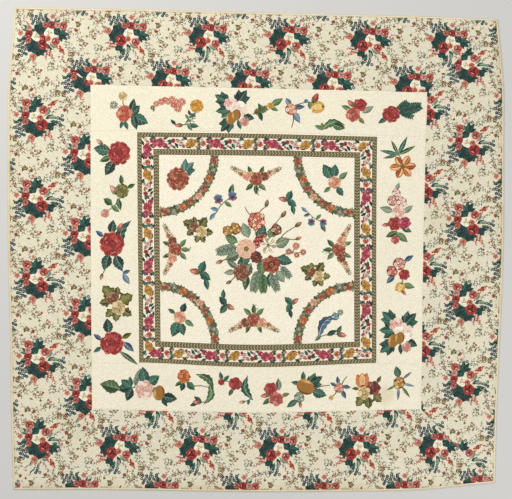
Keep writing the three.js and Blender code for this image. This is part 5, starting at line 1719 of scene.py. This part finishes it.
class Nodes:
    """Short calls that add shader nodes."""

    def __init__(self, name):
        self.material = bpy.data.materials.new(name)
        self.material.use_nodes = True
        self.tree = self.material.node_tree
        self.shader = self.tree.nodes["Principled BSDF"]

    def add(self, kind, **values):
        """A node of a kind."""
        node = self.tree.nodes.new(kind)
        for key, value in values.items():
            setattr(node, key, value)
        return node

    def join(self, out, into):
        self.tree.links.new(out, into)

    def put(self, node, index, value):
        """Joins or sets one input."""
        if isinstance(value, bpy.types.NodeSocket):
            self.join(value, node.inputs[index])
        else:
            node.inputs[index].default_value = value

    def math(self, what, a, b=0.0, c=0.0):
        node = self.add("ShaderNodeMath", operation=what)
        for i, value in enumerate((a, b, c)):
            self.put(node, i, value)
        return node.outputs[0]

    def span(self, value, low, high, to_low=0.0, to_high=1.0):
        """Takes low..high smoothly to another range."""
        node = self.add("ShaderNodeMapRange", interpolation_type="SMOOTHSTEP")
        for i, v in enumerate((value, low, high, to_low, to_high)):
            self.put(node, i, v)
        return node.outputs[0]

    def noise(self, where, scale, detail=3.0, rough=0.55):
        node = self.add("ShaderNodeTexNoise")
        self.join(where, node.inputs["Vector"])
        node.inputs["Scale"].default_value = scale
        node.inputs["Detail"].default_value = detail
        node.inputs["Roughness"].default_value = rough
        return node.outputs["Fac"]

    def mix(self, share, a, b, blend="MIX"):
        node = self.add("ShaderNodeMix", data_type="RGBA", blend_type=blend)
        self.put(node, 0, share)
        self.put(node, 6, a if isinstance(a, bpy.types.NodeSocket) else (*a, 1.0))
        self.put(node, 7, b if isinstance(b, bpy.types.NodeSocket) else (*b, 1.0))
        return node.outputs[2]

    def bump(self, height, strength, distance, under=None):
        """The normal that a height gives, over the normal of the form under it."""
        node = self.add("ShaderNodeBump")
        node.inputs["Strength"].default_value = strength
        node.inputs["Distance"].default_value = distance
        self.join(height, node.inputs["Height"])
        if under is not None:
            self.join(under, node.inputs["Normal"])
        return node.outputs[0]

    def grey(self, value):
        node = self.add("ShaderNodeCombineColor")
        for i in range(3):
            self.put(node, i, value)
        return node.outputs[0]


STAINS = [  # across, up, radius in metres, strength
    (0.730, -0.816, 0.075, 0.55),
    (1.032, 0.186, 0.11, 0.25),
    (-1.02, -0.98, 0.12, 0.22),
    (0.16, 1.16, 0.10, 0.18),
    (-0.31, -0.62, 0.05, 0.2),
]
AGED = linear("c9ae74")
THREAD = linear("f0e8d2")
THREADS_PER_METRE = 1750.0
RIM_X, RIM_Y = (1.31, 1.40), (1.28, 1.37)  # metres out between which the cloth has yellowed
WORN = linear("efe4c8")
# Tint of the painted shade in the quilting's valleys
VALLEY_SHADE_TINT = linear("a89a80")
COTTON = {"Roughness": 0.88, "Specular IOR Level": 0.18, "Sheen Weight": 0.08, "Sheen Roughness": 0.5}


def cloth_material(name, plain=None, fade=0.1, tape=False, relief=0.0):
    """Printed cotton with its wear, puckers, stains, weave and stitches, painted light and shade on its
    puckers and painted shade in its quilting's valleys, or a plain tape.
    """
    n = Nodes(name)
    where = n.add("ShaderNodeTexCoord").outputs["Object"]
    split = n.add("ShaderNodeSeparateXYZ")
    n.join(where, split.inputs[0])
    x, y = split.outputs[0], split.outputs[1]
    if plain is None:
        colour = n.add("ShaderNodeAttribute", attribute_name="print").outputs["Color"]
    else:
        colour = n.mix(0.0, plain, plain)
    # Printed colour has worn off the raised threads and faded unevenly.
    wear = n.noise(where, 210.0, 4.0, 0.7)
    patch = n.noise(where, 5.0, 3.0)
    worn = n.math("MULTIPLY", n.span(wear, 0.42, 0.78), n.math("MULTIPLY_ADD", patch, fade, fade * 0.6))
    colour = n.mix(worn, colour, WORN)
    tone = n.math("MULTIPLY_ADD", n.noise(where, 3.1, 4.0), 0.11, 0.945)
    tone = n.math("MULTIPLY", tone, n.math("MULTIPLY_ADD", n.noise(where, 46.0, 3.0), 0.07, 0.965))
    # Painted light and shade for the puckers between the stitches: small patches of the colour are made
    # lighter and darker at random, in place of the puckers' own shading.
    tone = n.math("MULTIPLY", tone, n.math("MULTIPLY_ADD", n.noise(where, 130.0, 2.0, 0.6), 0.26, 0.87))
    # Single threads are a little thicker, thinner, paler or darker than their neighbours.
    for scale in ((9.0, 1300.0, 1.0), (1300.0, 9.0, 1.0)):
        mapping = n.add("ShaderNodeMapping")
        n.join(where, mapping.inputs["Vector"])
        mapping.inputs["Scale"].default_value = scale
        slub = n.noise(mapping.outputs[0], 1.0, 2.0)
        tone = n.math("MULTIPLY", tone, n.math("MULTIPLY_ADD", slub, 0.09, 0.955))
    colour = n.mix(1.0, colour, n.grey(tone), "MULTIPLY")
    # The cloth has yellowed at the quilt's edges and where something was spilt.
    rim_x = n.span(n.math("ABSOLUTE", x), *RIM_X)
    rim_y = n.span(n.math("ABSOLUTE", y), *RIM_Y)
    at_rim = n.math("MAXIMUM", rim_x, rim_y)
    soiled = n.math("MULTIPLY", at_rim, n.span(n.noise(where, 8.0), 0.3, 0.7, 0.08, 0.4))
    for sx, sy, radius, strength in STAINS:
        dx, dy = n.math("SUBTRACT", x, sx), n.math("SUBTRACT", y, sy)
        far = n.math("SQRT", n.math("ADD", n.math("MULTIPLY", dx, dx), n.math("MULTIPLY", dy, dy)))
        far = n.math("MULTIPLY_ADD", n.noise(where, 16.0), radius * 0.7, far)
        blot = n.math("MULTIPLY", n.span(far, radius * 0.75, radius * 1.3, 1.0, 0.0), strength * 0.5)
        soiled = n.math("MAXIMUM", soiled, blot)
    colour = n.mix(soiled, colour, n.mix(1.0, colour, AGED, "MULTIPLY"))
    # Weave: threads over and under each other
    turn = THREADS_PER_METRE * math.pi
    warp = n.math("SINE", n.math("MULTIPLY", x, turn))
    weft = n.math("SINE", n.math("MULTIPLY", y, turn))
    if tape:
        weave = n.math("SINE", n.math("MULTIPLY", n.math("ADD", x, y), turn * 0.7))
    else:
        weave = n.math("MULTIPLY", warp, weft)
    last = n.bump(weave, 0.35, 0.00006)
    last = n.bump(n.noise(where, 80.0, 3.0, 0.6), 0.8, 0.003, last)
    if not tape:
        quilt = n.add("ShaderNodeSeparateXYZ")
        n.join(n.add("ShaderNodeAttribute", attribute_name="quilt").outputs["Vector"], quilt.inputs[0])
        phase, along, face = quilt.outputs
        off = n.math("ABSOLUTE", n.math("SUBTRACT", phase, n.math("ROUND", phase)))
        near = n.span(off, 0.018, 0.05, 1.0, 0.0)
        dash = n.math("LESS_THAN", n.math("FRACT", along), 0.55)
        stitch = n.math("MULTIPLY", n.math("MULTIPLY", near, dash), face)
        colour = n.mix(n.math("MULTIPLY", stitch, 0.28), colour, THREAD)
        # Painted shade: the colour darkens towards a dull tint along the quilting's valleys, more in some
        # places than in others, where the relief would be in shadow.
        painted_valley_shade = n.math("MULTIPLY", n.span(off, 0.0, 0.2, 0.26, 0.0), face)
        painted_valley_shade = n.math("MULTIPLY", painted_valley_shade, n.span(n.noise(where, 90.0, 2.0), 0.35, 0.65, 0.0, 1.7))
        colour = n.mix(painted_valley_shade, colour, n.mix(1.0, colour, VALLEY_SHADE_TINT, "MULTIPLY"))
        if relief:
            swell = n.math("ABSOLUTE", n.math("SINE", n.math("MULTIPLY", phase, math.pi)))
            last = n.bump(n.math("MULTIPLY", swell, face), 1.0, relief * MM, last)
        last = n.bump(stitch, 0.8, 0.00035, last)
    n.join(last, n.shader.inputs["Normal"])
    n.join(colour, n.shader.inputs["Base Color"])
    for setting, value in COTTON.items():
        n.shader.inputs[setting].default_value = value
    return n.material


GROUND = cloth_material("plain_ground", fade=0.05)
CHINTZ_CLOTH = cloth_material("printed_ground", fade=0.05, relief=RELIEF)
SKIN = cloth_material("printed_applique", fade=0.1, relief=RELIEF * 0.8)
TAPE = cloth_material("twill_tape", linear("e7dcbc"), 0.05, True)

FIELD_COTTON, PLAIN_COTTON, CHINTZ_COTTON = linear("f5efdc"), linear("f0ebd6"), linear("e2dec8")
for name, (corners, quilting) in PLAIN.items():
    ink = FIELD_COTTON if name == "centre_panel" else PLAIN_COTTON
    ground_piece(name, corners, quilting, Print(ink), GROUND)

filler, blooms = Print(flowers=99, leaves=999), Print(flowers=99, leaves=999)
draw_filler(filler, random.Random(5))
draw_chintz_bouquet(blooms, random.Random(9))
for name, (corners, quilting, anchor, turn) in BORDER.items():
    sheet_print = Print(CHINTZ_COTTON)
    stamp(sheet_print, filler, corners, anchor, turn)
    stamp(sheet_print, blooms, corners, anchor, turn)
    ground_piece(name, corners, quilting, sheet_print, CHINTZ_CLOTH)

for side in SIDES:
    frame_strip(side)
    binding(side)
for name, signs in GARLANDS.items():
    garland(name, *signs)
for name, kind, x, y, turn, scale in PLACES:
    spray(name, kind, x, y, turn, scale)


def area_light(name, place, size, power, colour):
    """A square light that points at the middle of the quilt."""
    data = bpy.data.lights.new(name, "AREA")
    data.shape = "SQUARE"
    data.size = size
    data.energy = power
    data.color = colour
    obj = bpy.data.objects.new(name, data)
    obj.location = place
    obj.rotation_euler = (-Vector(place)).to_track_quat("-Z", "Y").to_euler()
    bpy.context.scene.collection.objects.link(obj)


def floor():
    """The plain pale surface that the quilt lies on."""
    bpy.ops.mesh.primitive_plane_add(size=14, location=(0, 0, -0.0006))
    obj = bpy.context.object
    obj.name = "floor"
    n = Nodes("floor_paint")
    where = n.add("ShaderNodeTexCoord").outputs["Object"]
    tone = n.math("MULTIPLY_ADD", n.noise(where, 2.0), 0.03, 0.60)
    n.join(n.grey(tone), n.shader.inputs["Base Color"])
    n.shader.inputs["Roughness"].default_value = 0.8
    obj.data.materials.append(n.material)


floor()
world = bpy.data.worlds.new("studio")
world.use_nodes = True
world.node_tree.nodes["Background"].inputs[0].default_value = (1.0, 0.985, 0.955, 1.0)
world.node_tree.nodes["Background"].inputs[1].default_value = 0.49
bpy.context.scene.world = world
bpy.context.scene.view_settings.view_transform = "Standard"
area_light("key", (-4.2, 4.6, 4.2), 3.0, 360.0, (1.0, 0.965, 0.9))
area_light("fill", (4.5, -3.0, 5.0), 4.0, 190.0, (1.0, 0.98, 0.95))

CAMERA_HEIGHT, SENSOR = 12.0, 36.0
PHOTO_WIDTH, MM_PER_PIXEL = 512, 5.6
VIEW_WIDTH = PHOTO_WIDTH * MM_PER_PIXEL * MM
camera = bpy.data.objects.new("camera", bpy.data.cameras.new("camera"))
camera.data.sensor_width = SENSOR
camera.data.lens = SENSOR * CAMERA_HEIGHT / VIEW_WIDTH
camera.location = (0.0, 0.0, CAMERA_HEIGHT)
camera.data.clip_end = 60.0
bpy.context.scene.collection.objects.link(camera)
bpy.context.scene.camera = camera
